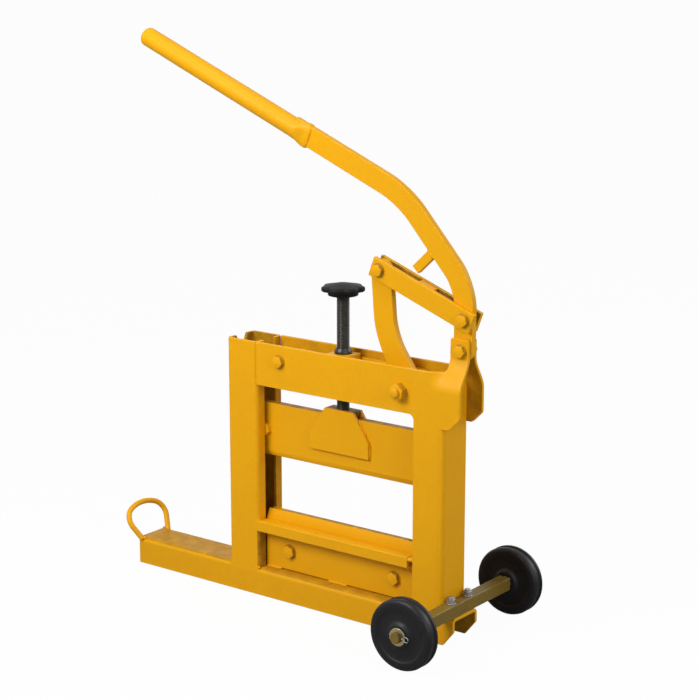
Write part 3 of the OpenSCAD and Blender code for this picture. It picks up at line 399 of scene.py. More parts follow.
# Uprights and head: folded sheet steel. The left upright is a lipped channel, and the right column
# and the head are two cut plates, welded on a folded web. Their ears are pressed inwards to the lever.
def cut_plate(outline, face_y):
    """A flat sheet cut to an outline of X, Z and corner radius."""
    shape = bmesh.new()
    corners = [shape.verts.new((x, face_y, z)) for x, z, radius in outline]
    shape.faces.new(corners)
    for i, (x, z, radius) in enumerate(outline):
        if radius:
            here = Vector((x, z))
            ahead, behind = Vector(outline[(i + 1) % len(outline)][:2]) - here, Vector(outline[i - 1][:2]) - here
            turn = math.pi - ahead.angle(behind)
            bmesh.ops.bevel(shape, geom=[corners[i]], offset=radius * math.tan(turn / 2), offset_type="OFFSET",
                            segments=max(4, round(turn / 0.07)), profile=0.5, affect="VERTICES",
                            clamp_overlap=False, material=-1)
    return shape


def thickened(shape, depth):
    """A sheet given its thickness along Y."""
    grown = bmesh.ops.extrude_face_region(shape, geom=shape.faces[:])["geom"]
    bmesh.ops.translate(shape, verts=[g for g in grown if isinstance(g, bmesh.types.BMVert)], vec=(0, depth, 0))
    bmesh.ops.recalc_face_normals(shape, faces=shape.faces)


def eased(share):
    """A share from 0 to 1 with soft ends."""
    share = min(max(share, 0.0), 1.0)
    return share * share * (3 - 2 * share)


def block(shape, middle, sides):
    """The corners of a rectangular block put into a shape."""
    place = Matrix.Translation(middle) @ Matrix.Diagonal((*sides, 1))
    return bmesh.ops.create_cube(shape, size=1, matrix=place)["verts"]


left_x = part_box("left_upright")[0].x
channel_mid = left_x + 34 * MM
shade_below_z = 119 * MM
# Faces turned into the channels are darkened with painted shade. The upright's inner side below the ledge is darkest,
# as painted shadow of the ledge.
for sheet, width in (("left_upright", 1.0), ("column_web", 0.7), ("column_guides", 0.8)):
    piece = broken_edges(sheet + "_sheet", sheet, yellow_paint, "frame", width, split_z=shade_below_z,
                         merge=0.6 if sheet == "column_web" else 0.12)
    painted_shade_marks = piece.data.attributes["shade_dirt"].data
    for face in piece.data.polygons:
        outwards = Vector((1, 0, 0))
        if sheet == "left_upright":
            outwards = Vector((face.center.x - channel_mid, face.center.y, 0))
        if outwards.dot(face.normal) < 0 and abs(face.center.y) < 31 * MM:
            painted_shade_marks[face.index].value = 0.6
        elif sheet == "left_upright" and face.normal.x > 0.5:
            painted_shade_marks[face.index].value = 0.3 if face.center.y > 0 else 0.7 if face.center.z < shade_below_z else 0.0
plate_outline = [(68, 385, 0), (400, 385, 10), (400, 50, 0), (451, 50, 0), (451, 370, 0), (469, 370, 0),
                 (490, 391, 0), (490, 517, 4), (455, 517, 4), (455, 461, 8), (68, 461, 0)]
plate_y, plate_t, ear_inset = 36 * MM, 6 * MM, 23.75 * MM
press_x, press_z, press_grid = (425, 30), (430, 57), 2.5
for side, node in ((-1, "front_frame_plate"), (1, "rear_frame_plate")):
    plate = cut_plate([(left_x + x * MM, z * MM, r * MM) for x, z, r in plate_outline], side * plate_y)
    thickened(plate, -side * plate_t)
    rounded(plate, 0.9)
    for i in range(27):
        cut_across(plate, (left_x + (421.4 + press_grid * i) * MM, 0, 0), (1, 0, 0))
    for i in range(27):
        cut_across(plate, (0, 0, (424.3 + press_grid * i) * MM), (0, 0, 1))
    for v in plate.verts:
        along = eased(((v.co.x - left_x) / MM - press_x[0]) / press_x[1])
        pressed = eased((v.co.z / MM - press_z[0]) / press_z[1]) * along
        v.co.y -= side * ear_inset * pressed
    piece = even_piece(node + "_sheet", plate, yellow_paint, "frame", (node,))
    # The plates' inner faces are darkened with painted shade, and the ears' inner faces most.
    painted_shade_marks = piece.data.attributes["shade_dirt"].data
    for face in piece.data.polygons:
        if side * face.normal.y < -0.5:
            painted_shade_marks[face.index].value = 0.5 if face.center.x > left_x + 440 * MM else 0.3
feet = bmesh.new()
for side in (-1, 1):
    for first_x, last_x in ((1, 67), (400, 456)):
        foot = block(feet, (left_x + (first_x + last_x) / 2 * MM, side * 31.03 * MM, 46 * MM),
                     ((last_x - first_x) * MM, 10 * MM, 10.8 * MM))
        stand = {e for v in foot for e in v.link_edges if abs(e.verts[0].co.z - e.verts[1].co.z) > 5 * MM}
        outer = [e for e in stand if e.verts[0].co.y * side > 33 * MM]
        bmesh.ops.bevel(feet, geom=outer, offset=4 * MM, offset_type="OFFSET", segments=4,
                        profile=0.5, affect="EDGES", clamp_overlap=True, material=-1)
edged_piece("ground_foot_welds", feet, yellow_paint, "frame", (), 0.3)

# Fixed lower blade: a flat bar between two bevelled panels, with a ledge bar in front and behind
# that the block rests on. All are sawn from flat bar and welded into the frame.
# The lower blade's top is darkened. The undersides of the blade and panels are darkened fully, as painted shade under
# the ledges.
for bar, shade_dirt in (("lower_blade", 0.7), ("front_clamp_panel", 0), ("rear_clamp_panel", 0)):
    piece = broken_edges(bar + "_bar", bar, yellow_paint, "frame", 0.8, shade_dirt=shade_dirt)
    for face in piece.data.polygons:
        if face.normal.z < -0.5:
            piece.data.attributes["shade_dirt"].data[face.index].value = 1.0
for node in ("front_ledge", "rear_ledge"):
    ledge_low, ledge_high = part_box(node)
    ledge_low.x, ledge_high.x = left_x + 61.5 * MM, left_x + 389 * MM
    ledge = bmesh.new()
    block(ledge, (ledge_low + ledge_high) / 2, ledge_high - ledge_low)
    edged_piece(node + "_bar", ledge, yellow_paint, "frame", (node,), 1.3, segments=3)


# Bolts: rolled hexagon bolts with turned chamfers and a washer under the head, sprayed over with
# the frame. The thread ends stand out of the nuts.
def turned_body(shape, profile, steps=48):
    """A profile of radius and height turned round Z."""
    start = [shape.verts.new((radius, 0, height)) for radius, height in profile]
    edges = [shape.edges.new(pair) for pair in zip(start, start[1:])]
    known = set(shape.verts) - set(start)
    bmesh.ops.spin(shape, geom=start + edges, cent=(0, 0, 0), axis=(0, 0, 1), angle=math.tau,
                   steps=steps, use_merge=True, use_duplicate=False)
    made = [v for v in shape.verts if v not in known]
    bmesh.ops.remove_doubles(shape, verts=made, dist=0.004 * MM)
    bmesh.ops.recalc_face_normals(shape, faces=shape.faces)


def skinned(shape, rings):
    """A closed skin through rings of points, from the first to the last."""
    loops = [list({e for v in ring for e in v.link_edges}) for ring in rings]
    for lower, upper in zip(loops, loops[1:]):
        bmesh.ops.bridge_loops(shape, edges=lower + upper)
    bmesh.ops.holes_fill(shape, edges=loops[0] + loops[-1])
    bmesh.ops.recalc_face_normals(shape, faces=shape.faces)


def hexagon(shape, across, low, high):
    """A six-sided head or nut between two heights, with the turned chamfer on its upper end."""
    flat_r = across / 2
    crown_r = 0.93 * flat_r
    rings = []
    for level in range(3):
        circle = bmesh.ops.create_circle(shape, segments=48, radius=flat_r)["verts"]
        for v in circle:
            angle = math.atan2(v.co.y, v.co.x)
            corner_r = flat_r / math.cos((angle + math.pi / 6) % (math.pi / 3) - math.pi / 6)
            reach = crown_r if level == 2 else corner_r
            v.co = Vector((reach * math.cos(angle), reach * math.sin(angle), low))
            if level == 1:
                v.co.z = high - math.tan(math.radians(28)) * (corner_r - crown_r)
            if level == 2:
                v.co.z = high
        rings.append(circle)
    skinned(shape, rings)


def thread_end(radius, low, high, pitch):
    """Profile of a threaded end with a chamfered tip, as radius and height."""
    profile = [(0, low), (radius, low)]
    turns = int((high - low - pitch) / pitch)
    for turn in range(turns):
        foot = low + 0.4 * pitch + turn * pitch
        profile += [(radius, foot), (radius - 0.55 * pitch, foot + 0.45 * pitch), (radius, foot + 0.9 * pitch)]
    return profile + [(radius, high - 0.5 * pitch), (radius - 0.6 * pitch, high), (0, high)]


def added(whole, part):
    """One mesh put into another."""
    data = bpy.data.meshes.new("part")
    part.to_mesh(data)
    part.free()
    whole.from_mesh(data)
    bpy.data.meshes.remove(data)


# Width across flats, height of head and nut and length of thread end, in diameters of the bolt
across_share, head_share, nut_share, tip_share = 1.58, 0.64, 0.85, 1.2


def bolt_shape(size, grip):
    """A bolt with its seat at height 0, its head above and its nut and thread end below the grip."""
    d = size * MM
    shape = bmesh.new()
    turned_body(shape, [(0, 0), (0.98 * d, 0), (1.0 * d, 0.3 * MM), (1.0 * d, 1.5 * MM),
                        (0.97 * d, 1.8 * MM), (0, 1.8 * MM)])
    hexagon(shape, across_share * d, 1.7 * MM, head_share * d)
    turned_body(shape, [(0, 0.1 * MM), (d / 2, 0.1 * MM), (d / 2, -grip), (0, -grip)], 32)
    nut = bmesh.new()
    hexagon(nut, across_share * d, 0, nut_share * d)
    turned_body(nut, thread_end(d / 2, 0.8 * d, tip_share * d, 0.13 * d), 32)
    bmesh.ops.rotate(nut, verts=nut.verts, cent=(0, 0, 0), matrix=Matrix.Rotation(math.pi, 3, "X"))
    bmesh.ops.translate(nut, verts=nut.verts, vec=(0, 0, -grip))
    added(shape, nut)
    # The washer and the sides of head and nut are darkened: painted shade in the seams round them.
    shade_dirt_layer = shape.faces.layers.float.new("shade_dirt")
    shape.normal_update()
    for face in shape.faces:
        washer = abs(face.calc_center_median().z) < 2 * MM
        face[shade_dirt_layer] = 0.6 if washer else 0.5 if abs(face.normal.z) < 0.5 else 0.0
    return shape


def cross_bolt(name, node, size, body, places=1, nut_in_front=False, spin=0.0):
    """Bolts across the frame that stand for a cut node of one or two bolts."""
    low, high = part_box(node)
    d = size * MM
    whole = bmesh.new()
    corner = across_share * d / math.sqrt(3)
    stand = [low.x + corner, high.x - corner] if places == 2 else [(low.x + high.x) / 2]
    for x in stand:
        one = bolt_shape(size, high.y - low.y - (head_share + tip_share) * d)
        way = -1 if nut_in_front else 1
        seat = high.y - head_share * d if nut_in_front else low.y + head_share * d
        place = (Matrix.Translation((x, seat, (low.z + high.z) / 2)) @ Matrix.Rotation(way * math.pi / 2, 4, "X")
                 @ Matrix.Rotation(math.radians(spin), 4, "Z"))
        bmesh.ops.transform(one, matrix=place, verts=one.verts)
        added(whole, one)
    return new_piece(name, whole, yellow_paint, body, (node,))


cross_bolt("clamp_bolt_pair", "clamp_bolts", 13.2, "frame", places=2, spin=12)
cross_bolt("tie_bolt_hex", "tie_bolt", 12, "frame", spin=20)
cross_bolt("rocker_bolt_hex", "rocker_bolt", 16, "frame", nut_in_front=True, spin=8)
cross_bolt("ear_bolt_hex", "ear_bolt", 12, "frame", spin=25)
broken_edges("tie_spacer_tube", "tie_spacer", yellow_paint, "frame", 0.5)

# Axle: a square steel bar whose yellow paint is given a darker gold colour, as painted shade under the frame, held on
# the base by two studs with zinc-plated nuts. Its turned ends carry washers and split pins.
axle_paint = finished_material(
    "axle_paint", (0.24, 0.155, 0.022, 1), (0.17, 0.11, 0.018, 1), (0.11, 0.075, 0.02, 1),
    (0.42, 0.36, 0.22, 1), (0.34, 0.5), 420.0, 0.0003, cloud_share=0.8, speck_share=0.5, coat=0.02, shine=0.2)
zinc_steel = finished_material(
    "zinc_steel", (0.40, 0.40, 0.41, 1), (0.30, 0.30, 0.31, 1), (0.20, 0.19, 0.17, 1),
    (0.62, 0.62, 0.61, 1), (0.24, 0.4), 900.0, 0.00012, metallic=1.0)
axle_low, axle_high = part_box("axle")
axle_x, axle_z = (axle_low.x + axle_high.x) / 2, (axle_low.z + axle_high.z) / 2
axle_bar = bmesh.new()
block(axle_bar, (axle_x, 0, axle_z), (22 * MM, 280 * MM, 22 * MM))
edged_piece("axle_square_bar", axle_bar, axle_paint, "frame", ("axle",), 1.3, segments=3)
axle_ends = bmesh.new()
across_y = Matrix.Rotation(math.pi / 2, 4, "X")
reach, stub_r, stub_edge = axle_high.y, 9 * MM, 1.2 * MM
turned_body(axle_ends, [(0, -reach), (stub_r - stub_edge, -reach), (stub_r, -reach + stub_edge),
                        (stub_r, reach - stub_edge), (stub_r - stub_edge, reach), (0, reach)], 64)
bmesh.ops.transform(axle_ends, verts=axle_ends.verts, matrix=Matrix.Translation((axle_x, 0, axle_z)) @ across_y)
# The turned ends' round sides are darkened almost fully, as painted shade inside the washers and hubs.
shade_dirt_layer = axle_ends.faces.layers.float.new("shade_dirt")
axle_ends.normal_update()
for face in axle_ends.faces:
    face[shade_dirt_layer] = 0.1 if abs(face.normal.y) > 0.9 else 0.95
new_piece("axle_turned_ends", axle_ends, axle_paint, "frame", smooth=35)
studs = bmesh.new()
stud_d = 10 * MM
for stud_y in (-24 * MM, 24 * MM):
    stud = bmesh.new()
    turned_body(stud, [(0, 0), (0.83 * stud_d, 0), (0.85 * stud_d, 0.3 * MM), (0.85 * stud_d, 1.3 * MM),
                       (0.82 * stud_d, 1.6 * MM), (0, 1.6 * MM)])
    hexagon(stud, 1.42 * stud_d, 1.5 * MM, 0.85 * stud_d)
    turned_body(stud, thread_end(stud_d / 2, 0.8 * stud_d, 1.2 * stud_d, 1.4 * MM), 32)
    turned_body(stud, [(0, 0.2 * MM), (stud_d / 2, 0.2 * MM), (stud_d / 2, -27 * MM), (0, -27 * MM)], 24)
    spanner_turn = Matrix.Rotation(0.3 if stud_y < 0 else 0.75, 3, "Z")
    bmesh.ops.rotate(stud, verts=stud.verts, cent=(0, 0, 0), matrix=spanner_turn)
    bmesh.ops.translate(stud, verts=stud.verts, vec=(axle_x, stud_y, axle_high.z))
    added(studs, stud)
new_piece("axle_stud_nuts", studs, zinc_steel, "frame", ("axle_studs",))
bush_brass = finished_material(
    "bush_brass", (0.55, 0.46, 0.24, 1), (0.44, 0.36, 0.17, 1), (0.28, 0.22, 0.11, 1),
    (0.72, 0.65, 0.42, 1), (0.28, 0.44), 800.0, 0.00012, metallic=1.0)
broken_edges("wheel_washer_pair", "wheel_washers", bush_brass, "frame", 0.4)

pin_low, pin_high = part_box("cotter_pins")
pins = bmesh.new()
for side in (-1, 1):
    pin_y = side * (pin_high.y - 1.6 * MM)
    for leg in (-1, 1):
        leg_z = axle_z + leg * 0.8 * MM
        foot = [Vector((pin_low.x + ahead * MM, pin_y, leg_z + leg * aside * MM))
                for ahead, aside in ((1.2, 3.2), (3.2, 0.7), (6, 0))]
        shank = [Vector((axle_x, pin_y, leg_z)), Vector((pin_high.x - 9.5 * MM, pin_y, leg_z))]
        eye = arc_points((pin_high.x - 5.2 * MM, pin_y, axle_z), 4.2 * MM, math.radians(-72), math.radians(90), 12,
                         (0, 0, leg), (1, 0, 0))
        path = foot + shank + eye
        bent_wire(pins, path, [0.75 * MM] * len(path), 10)
new_piece("split_pin_pair", pins, zinc_steel, "frame", ("cotter_pins",))

# Wheels: solid black moulded plastic with grooved treads, a sunk disc and a long hub on a
# brass-coloured bush.
wheel_plastic = finished_material(
    "wheel_plastic", (0.009, 0.009, 0.011, 1), (0.007, 0.007, 0.009, 1), (0.016, 0.016, 0.017, 1),
    (0.03, 0.03, 0.03, 1), (0.3, 0.44), 350.0, 0.0003, speck_share=0.35, shine=0.25)
wheel_half = [(11.1, 17.0), (18.2, 17.0), (19.5, 16.5), (20.6, 15.2), (22.5, 13.6), (26.0, 12.6), (34.0, 12.2),
              (42.4, 12.2), (43.5, 12.7), (44.4, 13.4), (47.0, 13.8), (52.5, 13.7), (55.8, 13.0), (57.8, 11.8),
              (59.0, 9.8), (59.6, 7.4), (59.5, 5.4), (57.6, 4.6), (57.3, 3.4)]
for name, body in (("front_wheel", "wheel_front"), ("rear_wheel", "wheel_rear")):
    hub_low, hub_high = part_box(name)
    wheel = bmesh.new()
    loop = [(r * MM, h * MM) for r, h in wheel_half] + [(r * MM, -h * MM) for r, h in reversed(wheel_half)]
    turned_body(wheel, loop + [loop[0]], 112)
    hub = Matrix.Translation((axle_x, (hub_low.y + hub_high.y) / 2, axle_z))
    bmesh.ops.transform(wheel, verts=wheel.verts, matrix=hub @ across_y)
    new_piece(name + "_moulded", wheel, wheel_plastic, body, (name,), smooth=35)
    broken_edges(name + "_bush_ring", name + "_bush", bush_brass, body, 0.4)

# Lever: a flat bar bent twice in its plane, with a drilled pivot end and a welded stop. A round tube
# with a closed end is flattened over the bar and welded to it as the handle.
def bent_bar(line, half, bends):
    """Outline of a flat bar along a middle line with bends of given radii, rounded at its first end."""
    ways = [(b - a).normalized() for a, b in zip(line, line[1:])]
    sides = [Vector((-way.y, way.x)) for way in ways]
    left, right = [], []
    for i, point in enumerate(line):
        before, after = sides[max(i - 1, 0)], sides[min(i, len(sides) - 1)]
        out = (before + after) / (1 + before.dot(after)) * half
        bend = bends[i - 1] if 0 < i < len(line) - 1 else 0
        left_turn = 1 if ways[max(i - 1, 0)].cross(ways[min(i, len(ways) - 1)]) > 0 else -1
        start = half * ways[0] if i == 0 else Vector((0, 0))
        corner = 0.99 * half if i == 0 else 0
        left.append((*(point + out - start), bend - left_turn * half if bend else corner))
        right.append((*(point - out - start), bend + left_turn * half if bend else corner))
    return left + right[::-1]


lever_line = [Vector((left_x + x * MM, z * MM))
              for x, z in ((474.5, 497), (475.94, 599.99), (353.5, 737.4), (126.3, 832.9))]
bar_t, lever_half, lever_bends = 12 * MM, 18 * MM, (95 * MM, 170 * MM)
lever_bar = cut_plate(bent_bar(lever_line, lever_half, lever_bends), -bar_t / 2)
thickened(lever_bar, bar_t)
edged_piece("lever_flat_bar", lever_bar, yellow_paint, "lever", ("lever_bar",), 1.4, segments=3)
broken_edges("lever_stop_bar", "lever_stop", yellow_paint, "lever", 1.0)
tube_low, tube_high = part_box("handle_tube")
handle_dir = math.radians(157.2)
tube_way = Vector((-math.cos(handle_dir), 0, -math.sin(handle_dir)))
tube_side = Vector((math.sin(handle_dir), 0, -math.cos(handle_dir)))
tube_r, flare_w, flare_t = 16.85 * MM, 42.4 * MM, 18.4 * MM
tube_end = Vector((tube_low.x + tube_r * abs(tube_side.x), 0, tube_high.z - tube_r * abs(tube_side.z)))
handle = bmesh.new()
tube_levels = [(0.0, 0.50, 0.0), (0.5, 0.68, 0.0), (2.0, 0.84, 0.0), (4.4, 0.95, 0.0), (8.0, 1.0, 0.0),
               (30, 1.0, 0.0), (120, 1.0, 0.0), (220, 1.0, 0.0), (340, 1.0, 0.0), (363, 1.0, 0.0), (370, 1.0, 0.05),
               (375, 1.0, 0.18), (380, 1.0, 0.44), (385, 1.0, 0.74), (389, 1.0, 0.92), (393, 1.0, 1.0),
               (396, 0.99, 1.0), (398.5, 0.96, 1.0), (400.5, 0.90, 1.0), (402, 0.80, 1.0)]
tube_rings = []
for along, share, flat in tube_levels:
    ring = bmesh.ops.create_circle(handle, segments=48, radius=tube_r)["verts"]
    for v in ring:
        angle = math.atan2(v.co.y, v.co.x)
        c, q = math.cos(angle), math.sin(angle)
        round_x, round_y = share * tube_r * c, share * tube_r * q
        flat_x = share * flare_w / 2 * math.copysign(abs(c) ** 0.55, c)
        flat_y = share * flare_t / 2 * math.copysign(abs(q) ** 0.55, q)
        x, y = round_x + (flat_x - round_x) * flat, round_y + (flat_y - round_y) * flat
        v.co = tube_end + tube_way * along * MM + tube_side * x + Vector((0, y, 0))
    tube_rings.append(ring)
skinned(handle, tube_rings)
new_piece("handle_round_tube", handle, yellow_paint, "lever", ("handle_tube",), smooth=50)

# Links: two flat bars sawn and drilled, one on each side of the lever and the rocker, kept apart
# by a welded spacer. Hexagon bolts join them to both.
for side, link in ((-1, "front_link"), (1, "rear_link")):
    # The links' inner faces are darkened: painted shade between the two bars.
    piece = broken_edges(link + "_bar", link, yellow_paint, "links", 1.1)
    for face in piece.data.polygons:
        if side * face.normal.y < -0.5:
            piece.data.attributes["shade_dirt"].data[face.index].value = 0.85
broken_edges("link_spacer_block", "link_spacer", yellow_paint, "links", 0.8)
cross_bolt("lever_link_bolt_hex", "lever_link_bolt", 12, "links", spin=14)
cross_bolt("rocker_link_bolt_hex", "rocker_link_bolt", 12, "links", spin=40)

# Rocker: a bent arm cut from thick plate, with a tail for the spring, welded on a turned hub.
# The two cheeks on the hub take the screw nut between them.
rocker_line = [Vector((left_x + x * MM, z * MM)) for x, z in ((311.06, 608.02), (319.5, 499.5), (373, 421))]
rocker_half, rocker_bend, tail_t = 20 * MM, 130 * MM, 11.8 * MM
rocker_arm = cut_plate(bent_bar(rocker_line, rocker_half, (rocker_bend,)), -bar_t / 2)
thickened(rocker_arm, bar_t)
edged_piece("rocker_arm_plate", rocker_arm, yellow_paint, "rocker", ("rocker_arm",), 1.3, segments=3)
tail_way = Vector((math.cos(math.radians(17)), math.sin(math.radians(17))))
tail_side = Vector((-tail_way.y, tail_way.x))
tail_outline = [(*(rocker_line[2] + (along * tail_way + aside * tail_side) * MM), r * MM)
                for along, aside, r in ((-27, 27, 22), (-27, -27, 22), (79, -11, 10), (79, 11, 10))]
rocker_tail = cut_plate(tail_outline, -tail_t / 2)
thickened(rocker_tail, tail_t)
edged_piece("rocker_tail_plate", rocker_tail, yellow_paint, "rocker", (), 1.0)
broken_edges("rocker_hub_tube", "rocker_hub", yellow_paint, "rocker", 0.8)
for cheek in ("front_cheek", "rear_cheek"):
    broken_edges(cheek + "_plate", cheek, yellow_paint, "rocker", 0.9)

# Upper blade: a thick flat bar bevelled along its lower edge. A saddle of two plates and a block is
# welded on its middle and hangs on the screw, and guide bolts at its ends run in the slots.
blade = bmesh.new()
blade.from_mesh(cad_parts["upper_blade"].data)
bmesh.ops.remove_doubles(blade, verts=blade.verts, dist=0.12 * MM)
bmesh.ops.dissolve_limit(blade, angle_limit=math.radians(0.8), verts=blade.verts, edges=blade.edges)
blade_low, blade_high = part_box("upper_blade")
bevel_up, bevel_in = 10, 5.4
for side in (-1, 1):
    cut = cut_across(blade, (0, side * blade_high.y, blade_low.z + bevel_up * MM), (0, side * bevel_up, -bevel_in),
                     clear_outer=True)
    bmesh.ops.holes_fill(blade, edges=[g for g in cut["geom_cut"] if isinstance(g, bmesh.types.BMEdge)])
bmesh.ops.recalc_face_normals(blade, faces=blade.faces)
# The blade's top is darkened, partly as painted shade under the head and partly as dark bare steel. The saddle plates'
# tops and the whole saddle block are darkened.
edged_piece("upper_blade_bar", blade, yellow_paint, "carriage", ("upper_blade",), 0.8, shade_dirt=0.75)
for part, width, shade_dirt in (("front_saddle", 1.0, 0.4), ("rear_saddle", 1.0, 0.5), ("saddle_block", 0.7, 0.95)):
    piece = broken_edges(part + "_bar", part, yellow_paint, "carriage", width, shade_dirt=shade_dirt)
for mark in piece.data.attributes["shade_dirt"].data:
    mark.value = 0.95
guides = bmesh.new()
guide_low, guide_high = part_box("guide_bolts")
guide_across = across_share * 12 * MM
guide_corner = guide_across / math.sqrt(3)
for x in (guide_low.x + guide_corner, guide_high.x - guide_corner):
    for side in (-1, 1):
        guide = bmesh.new()
        hexagon(guide, guide_across, 7.4 * MM, guide_high.y)
        turned_body(guide, [(0, 0), (6 * MM, 0), (6 * MM, 7.6 * MM), (0, 7.6 * MM)], 32)
        turn = Matrix.Rotation(-side * math.pi / 2, 4, "X") @ Matrix.Rotation(0.2, 4, "Z")
        place = Matrix.Translation((x, 0, (guide_low.z + guide_high.z) / 2)) @ turn
        bmesh.ops.transform(guide, verts=guide.verts, matrix=place)
        added(guides, guide)
new_piece("guide_bolt_pair", guides, yellow_paint, "carriage", ("guide_bolts",))


def cross_pin(name, node, radius, body):
    """A turned pin across the frame with chamfered ends."""
    low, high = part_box(node)
    pin, half = bmesh.new(), (high.y - low.y) / 2
    turned_body(pin, [(0, -half), (0.8 * radius, -half), (radius, -half + 0.3 * radius), (radius, half - 0.3 * radius),
                      (0.8 * radius, half), (0, half)], 40)
    bmesh.ops.transform(pin, verts=pin.verts, matrix=Matrix.Translation((low + high) / 2) @ across_y)
    return new_piece(name, pin, zinc_steel, body, (node,))


cross_pin("keeper_turned_pin", "keeper_pin", 2 * MM, "carriage")

# Screw nut: a steel block with turned trunnions that swings between the cheeks, painted yellow.
# A black collar is pressed on top of it round the screw.
black_steel = finished_material(
    "black_steel", (0.018, 0.017, 0.013, 1), (0.024, 0.022, 0.017, 1), (0.04, 0.036, 0.027, 1),
    (0.08, 0.075, 0.06, 1), (0.28, 0.40), 500.0, 0.0001, speck_share=0.4, metallic=0.1, shine=0.4)
broken_edges("trunnion_nut_block", "trunnion_nut", yellow_paint, "press_nut", 0.9)
collar_low, collar_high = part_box("nut_collar")
collar = bmesh.new()
collar_profile = ((11.05, 0), (14.4, 0), (15.0, 0.6), (15.0, 4.6), (14.4, 5.6), (12.9, 8.6), (12.3, 10), (11.05, 10),
                  (11.05, 0))
turned_body(collar, [(r * MM, h * MM) for r, h in collar_profile], 64)
bmesh.ops.translate(collar, verts=collar.verts, vec=((collar_low.x + collar_high.x) / 2, 0, collar_low.z))
new_piece("nut_collar_ring", collar, black_steel, "press_nut", ("nut_collar",))

# Adjusting screw: a black screw with two thread starts and a lead of 5 mm. The journal at its foot
# turns in the saddle block.
screw_low, screw_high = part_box("adjusting_screw")
screw_x = (screw_low.x + screw_high.x) / 2
crest, root, lead = 11 * MM, 10.3 * MM, 5 * MM
thread_low, thread_high = screw_low.z + 12.2 * MM, screw_high.z
thread = bmesh.new()
flank = [((crest + root) / 2 - (crest - root) / 2 * math.cos(math.tau * i / 8), i / 16) for i in range(17)]
below = 1.013 * lead  # no point of the thread lies just on a cutting plane
start = [thread.verts.new((r, 0, thread_low + share * lead - below)) for r, share in flank]
edges = [thread.edges.new(pair) for pair in zip(start, start[1:])]
turns = int((thread_high - thread_low) / lead) + 3
steps = 36
bmesh.ops.spin(thread, geom=start + edges, cent=(0, 0, 0), axis=(0, 0, 1), dvec=(0, 0, lead / steps),
               angle=math.tau * turns, steps=steps * turns, use_merge=False, use_duplicate=False)
bmesh.ops.remove_doubles(thread, verts=thread.verts, dist=0.005 * MM)
for height, clear_below in ((thread_low, True), (thread_high, False)):
    cut_across(thread, (0, 0, height), (0, 0, 1), clear_inner=clear_below, clear_outer=not clear_below)
    rim = [e for e in thread.edges if e.is_boundary and all(abs(v.co.z - height) < 0.01 * MM for v in e.verts)]
    bmesh.ops.holes_fill(thread, edges=rim)
bmesh.ops.recalc_face_normals(thread, faces=thread.faces)
journal_r, journal_edge, journal_top = 5.5 * MM, 0.4 * MM, thread_low + 0.5 * MM
turned_body(thread, [(0, screw_low.z), (journal_r - journal_edge, screw_low.z), (journal_r, screw_low.z + journal_edge),
                     (journal_r, journal_top), (0, journal_top)], 32)
bmesh.ops.translate(thread, verts=thread.verts, vec=(screw_x, 0, 0))
new_piece("adjusting_screw_thread", thread, black_steel, "screw", ("adjusting_screw",), smooth=50)

# Star knob: moulded black plastic with rounded lobes, a low dome and a stepped hub below. It is
# pressed on the upper end of the screw.
black_plastic = finished_material(
    "black_plastic", (0.009, 0.009, 0.009, 1), (0.007, 0.007, 0.007, 1), (0.018, 0.018, 0.018, 1),
    (0.04, 0.04, 0.04, 1), (0.46, 0.58), 800.0, 0.0002, shine=0.14)
knob_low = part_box("star_knob")[0]
lobes = 7
knob = bmesh.new()
knob_levels = [(0.0, 10.9, 0.0), (0.0, 24.6, 0.0), (0.6, 25.6, 0.0), (4.6, 26.0, 0.0), (5.6, 27.0, 0.3),
               (6.4, 31.0, 2.4), (7.2, 35.2, 4.4), (8.6, 37.0, 4.9), (11.5, 37.4, 5.0), (14.0, 37.0, 4.9),
               (15.4, 35.2, 4.4), (16.2, 32.0, 3.4), (17.2, 26.0, 1.2), (18.8, 18.0, 0.1), (20.2, 10.0, 0.0),
               (21.0, 3.0, 0.0)]
knob_rings = []
for height, reach, depth in knob_levels:
    ring = bmesh.ops.create_circle(knob, segments=112, radius=reach * MM)["verts"]
    for v in ring:
        angle = math.atan2(v.co.y, v.co.x)
        dip = (0.5 + 0.5 * math.cos(lobes * angle)) ** 1.6
        r = (reach - depth * dip) * MM
        v.co = Vector((screw_x + r * math.cos(angle), r * math.sin(angle), knob_low.z + height * MM))
    knob_rings.append(ring)
skinned(knob, knob_rings)
new_piece("star_knob_moulded", knob, black_plastic, "screw", ("star_knob",), smooth=45)

# Return spring: zinc-plated wire wound tight, with an eye round a pin in the column and a hook in
# the rocker's tail.
cross_pin("spring_anchor_pin", "spring_anchor", 4 * MM, "frame")
anchor_low, anchor_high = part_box("spring_anchor")
anchor = Vector(((anchor_low.x + anchor_high.x) / 2, 0, (anchor_low.z + anchor_high.z) / 2))
spring_low, spring_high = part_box("return_spring")
wire_r, coil_r, eye_r, curls, rings = 1.5 * MM, 8.5 * MM, 6 * MM, 26, 16
hook_r = (spring_high.y - spring_low.y) / 2 - wire_r
hook_z = spring_high.z - wire_r - hook_r
coil_low, coil_high = anchor.z + eye_r + 10 * MM, hook_z - hook_r - 10 * MM
coil = []
for i in range(curls * rings + 1):
    grown = eased(min(i, curls * rings - i) / rings)
    turn = math.tau * i / rings
    coil.append(Vector((anchor.x + coil_r * grown * math.cos(turn), coil_r * grown * math.sin(turn),
                        coil_low + (coil_high - coil_low) * i / (curls * rings))))
spring_path = arc_points(anchor, eye_r, -math.pi, math.pi / 2, 20, (1, 0, 0), (0, 0, 1))
spring_path += [anchor + Vector((0, 0, eye_r + 4 * MM))] + coil + [Vector((anchor.x, 0, coil_high + 5 * MM))]
spring_path += arc_points((anchor.x, 0, hook_z), hook_r, -math.pi / 2, math.radians(170), 20, (0, 1, 0), (0, 0, 1))
spring = bmesh.new()
bent_wire(spring, spring_path, [wire_r] * len(spring_path), 10)
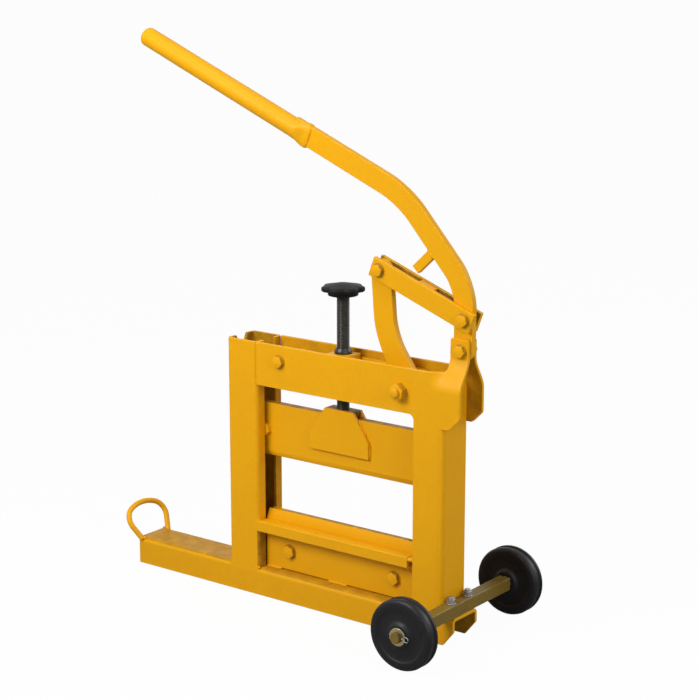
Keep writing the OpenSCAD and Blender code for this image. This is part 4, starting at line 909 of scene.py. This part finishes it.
spring_piece = new_piece("return_spring_wire", spring, zinc_steel, None, ("return_spring",))
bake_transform(spring_piece)

# Welds: beads laid by hand along the seams and painted over with the rest. Each has the ripples
# of its passes and sinks into the corner that it fills.
ripple = random.Random(7)


def weld_bead(shape, first, final, size):
    """A rippled bead between two points with round ends; in millimetres, X from the left upright."""
    corner = Vector((left_x, 0, 0))
    begin, end = Vector(first) * MM + corner, Vector(final) * MM + corner
    steps = max(6, round((end - begin).length / (1.5 * MM)))
    line = [begin.lerp(end, i / steps) for i in range(steps + 1)]
    radii = []
    for i in range(steps + 1):
        run_out = min(1.0, 0.45 + 0.3 * min(i, steps - i))
        radii.append(size * MM * run_out * (0.93 + 0.07 * math.cos(2.1 * i) + ripple.uniform(-0.05, 0.05)))
    bent_wire(shape, line, radii, 10)


frame_welds = bmesh.new()
for side in (-1, 1):
    weld_bead(frame_welds, (68, side * 34.2, 386), (68, side * 34.2, 460), 2.6)
    weld_bead(frame_welds, (66.5, side * 35.4, 137.6), (66.5, side * 27, 137.6), 2.4)
    weld_bead(frame_welds, (64.5, side * 34.6, 50.6), (69, side * 33, 50.6), 2.4)
    for bead_y in (32.2, 27.6, 23):
        weld_bead(frame_welds, (387, side * bead_y, 133.6), (401, side * bead_y, 133.6), 3.8)
    for start_x, end_x in ((68, 101), (207, 247), (347, 400)):
        weld_bead(frame_welds, (start_x, side * 13.4, 50.4), (end_x, side * 13.4, 50.4), 2.6)
    weld_bead(frame_welds, (452, side * 35.2, 370.2), (469, side * 35.2, 370.2), 1.5)
    weld_bead(frame_welds, (470, side * 35.2, 371.2), (489, side * 35.2, 390.4), 1.5)
    for foot_x, way in ((-218, -1), (-216, 1)):
        weld_bead(frame_welds, (foot_x + 5.2 * way, side * 30, 49.8), (foot_x + 5.2 * way, side * 36, 48.2), 2.4)
weld_bead(frame_welds, (-0.4, -27, 50.4), (-0.4, 27, 50.4), 3.0)
weld_bead(frame_welds, (460.4, -27, 50.4), (460.4, 27, 50.4), 3.0)
lever_welds = bmesh.new()
for side in (-1, 1):
    weld_bead(lever_welds, (404.6, side * 4.8, 652.4), (414.8, side * 4.8, 641.0), 1.9)
    weld_bead(lever_welds, (403.6, side * -4.5, 653.2), (403.6, side * 4.5, 653.2), 1.9)
carriage_welds = bmesh.new()
for side in (-1, 1):
    for way in (-1, 1):
        weld_bead(carriage_welds, (229 + way * 62.9, side * 8.2, 285), (229 + way * 62.9, side * 8.2, 309), 2.2)
        weld_bead(carriage_welds, (229 + way * 55, side * 8.2, 323.6), (229 + way * 40, side * 8.2, 346.6), 2.0)
for body, welds in (("frame", frame_welds), ("lever", lever_welds), ("carriage", carriage_welds)):
    new_piece(body + "_weld_beads", welds, yellow_paint, body, smooth=70)
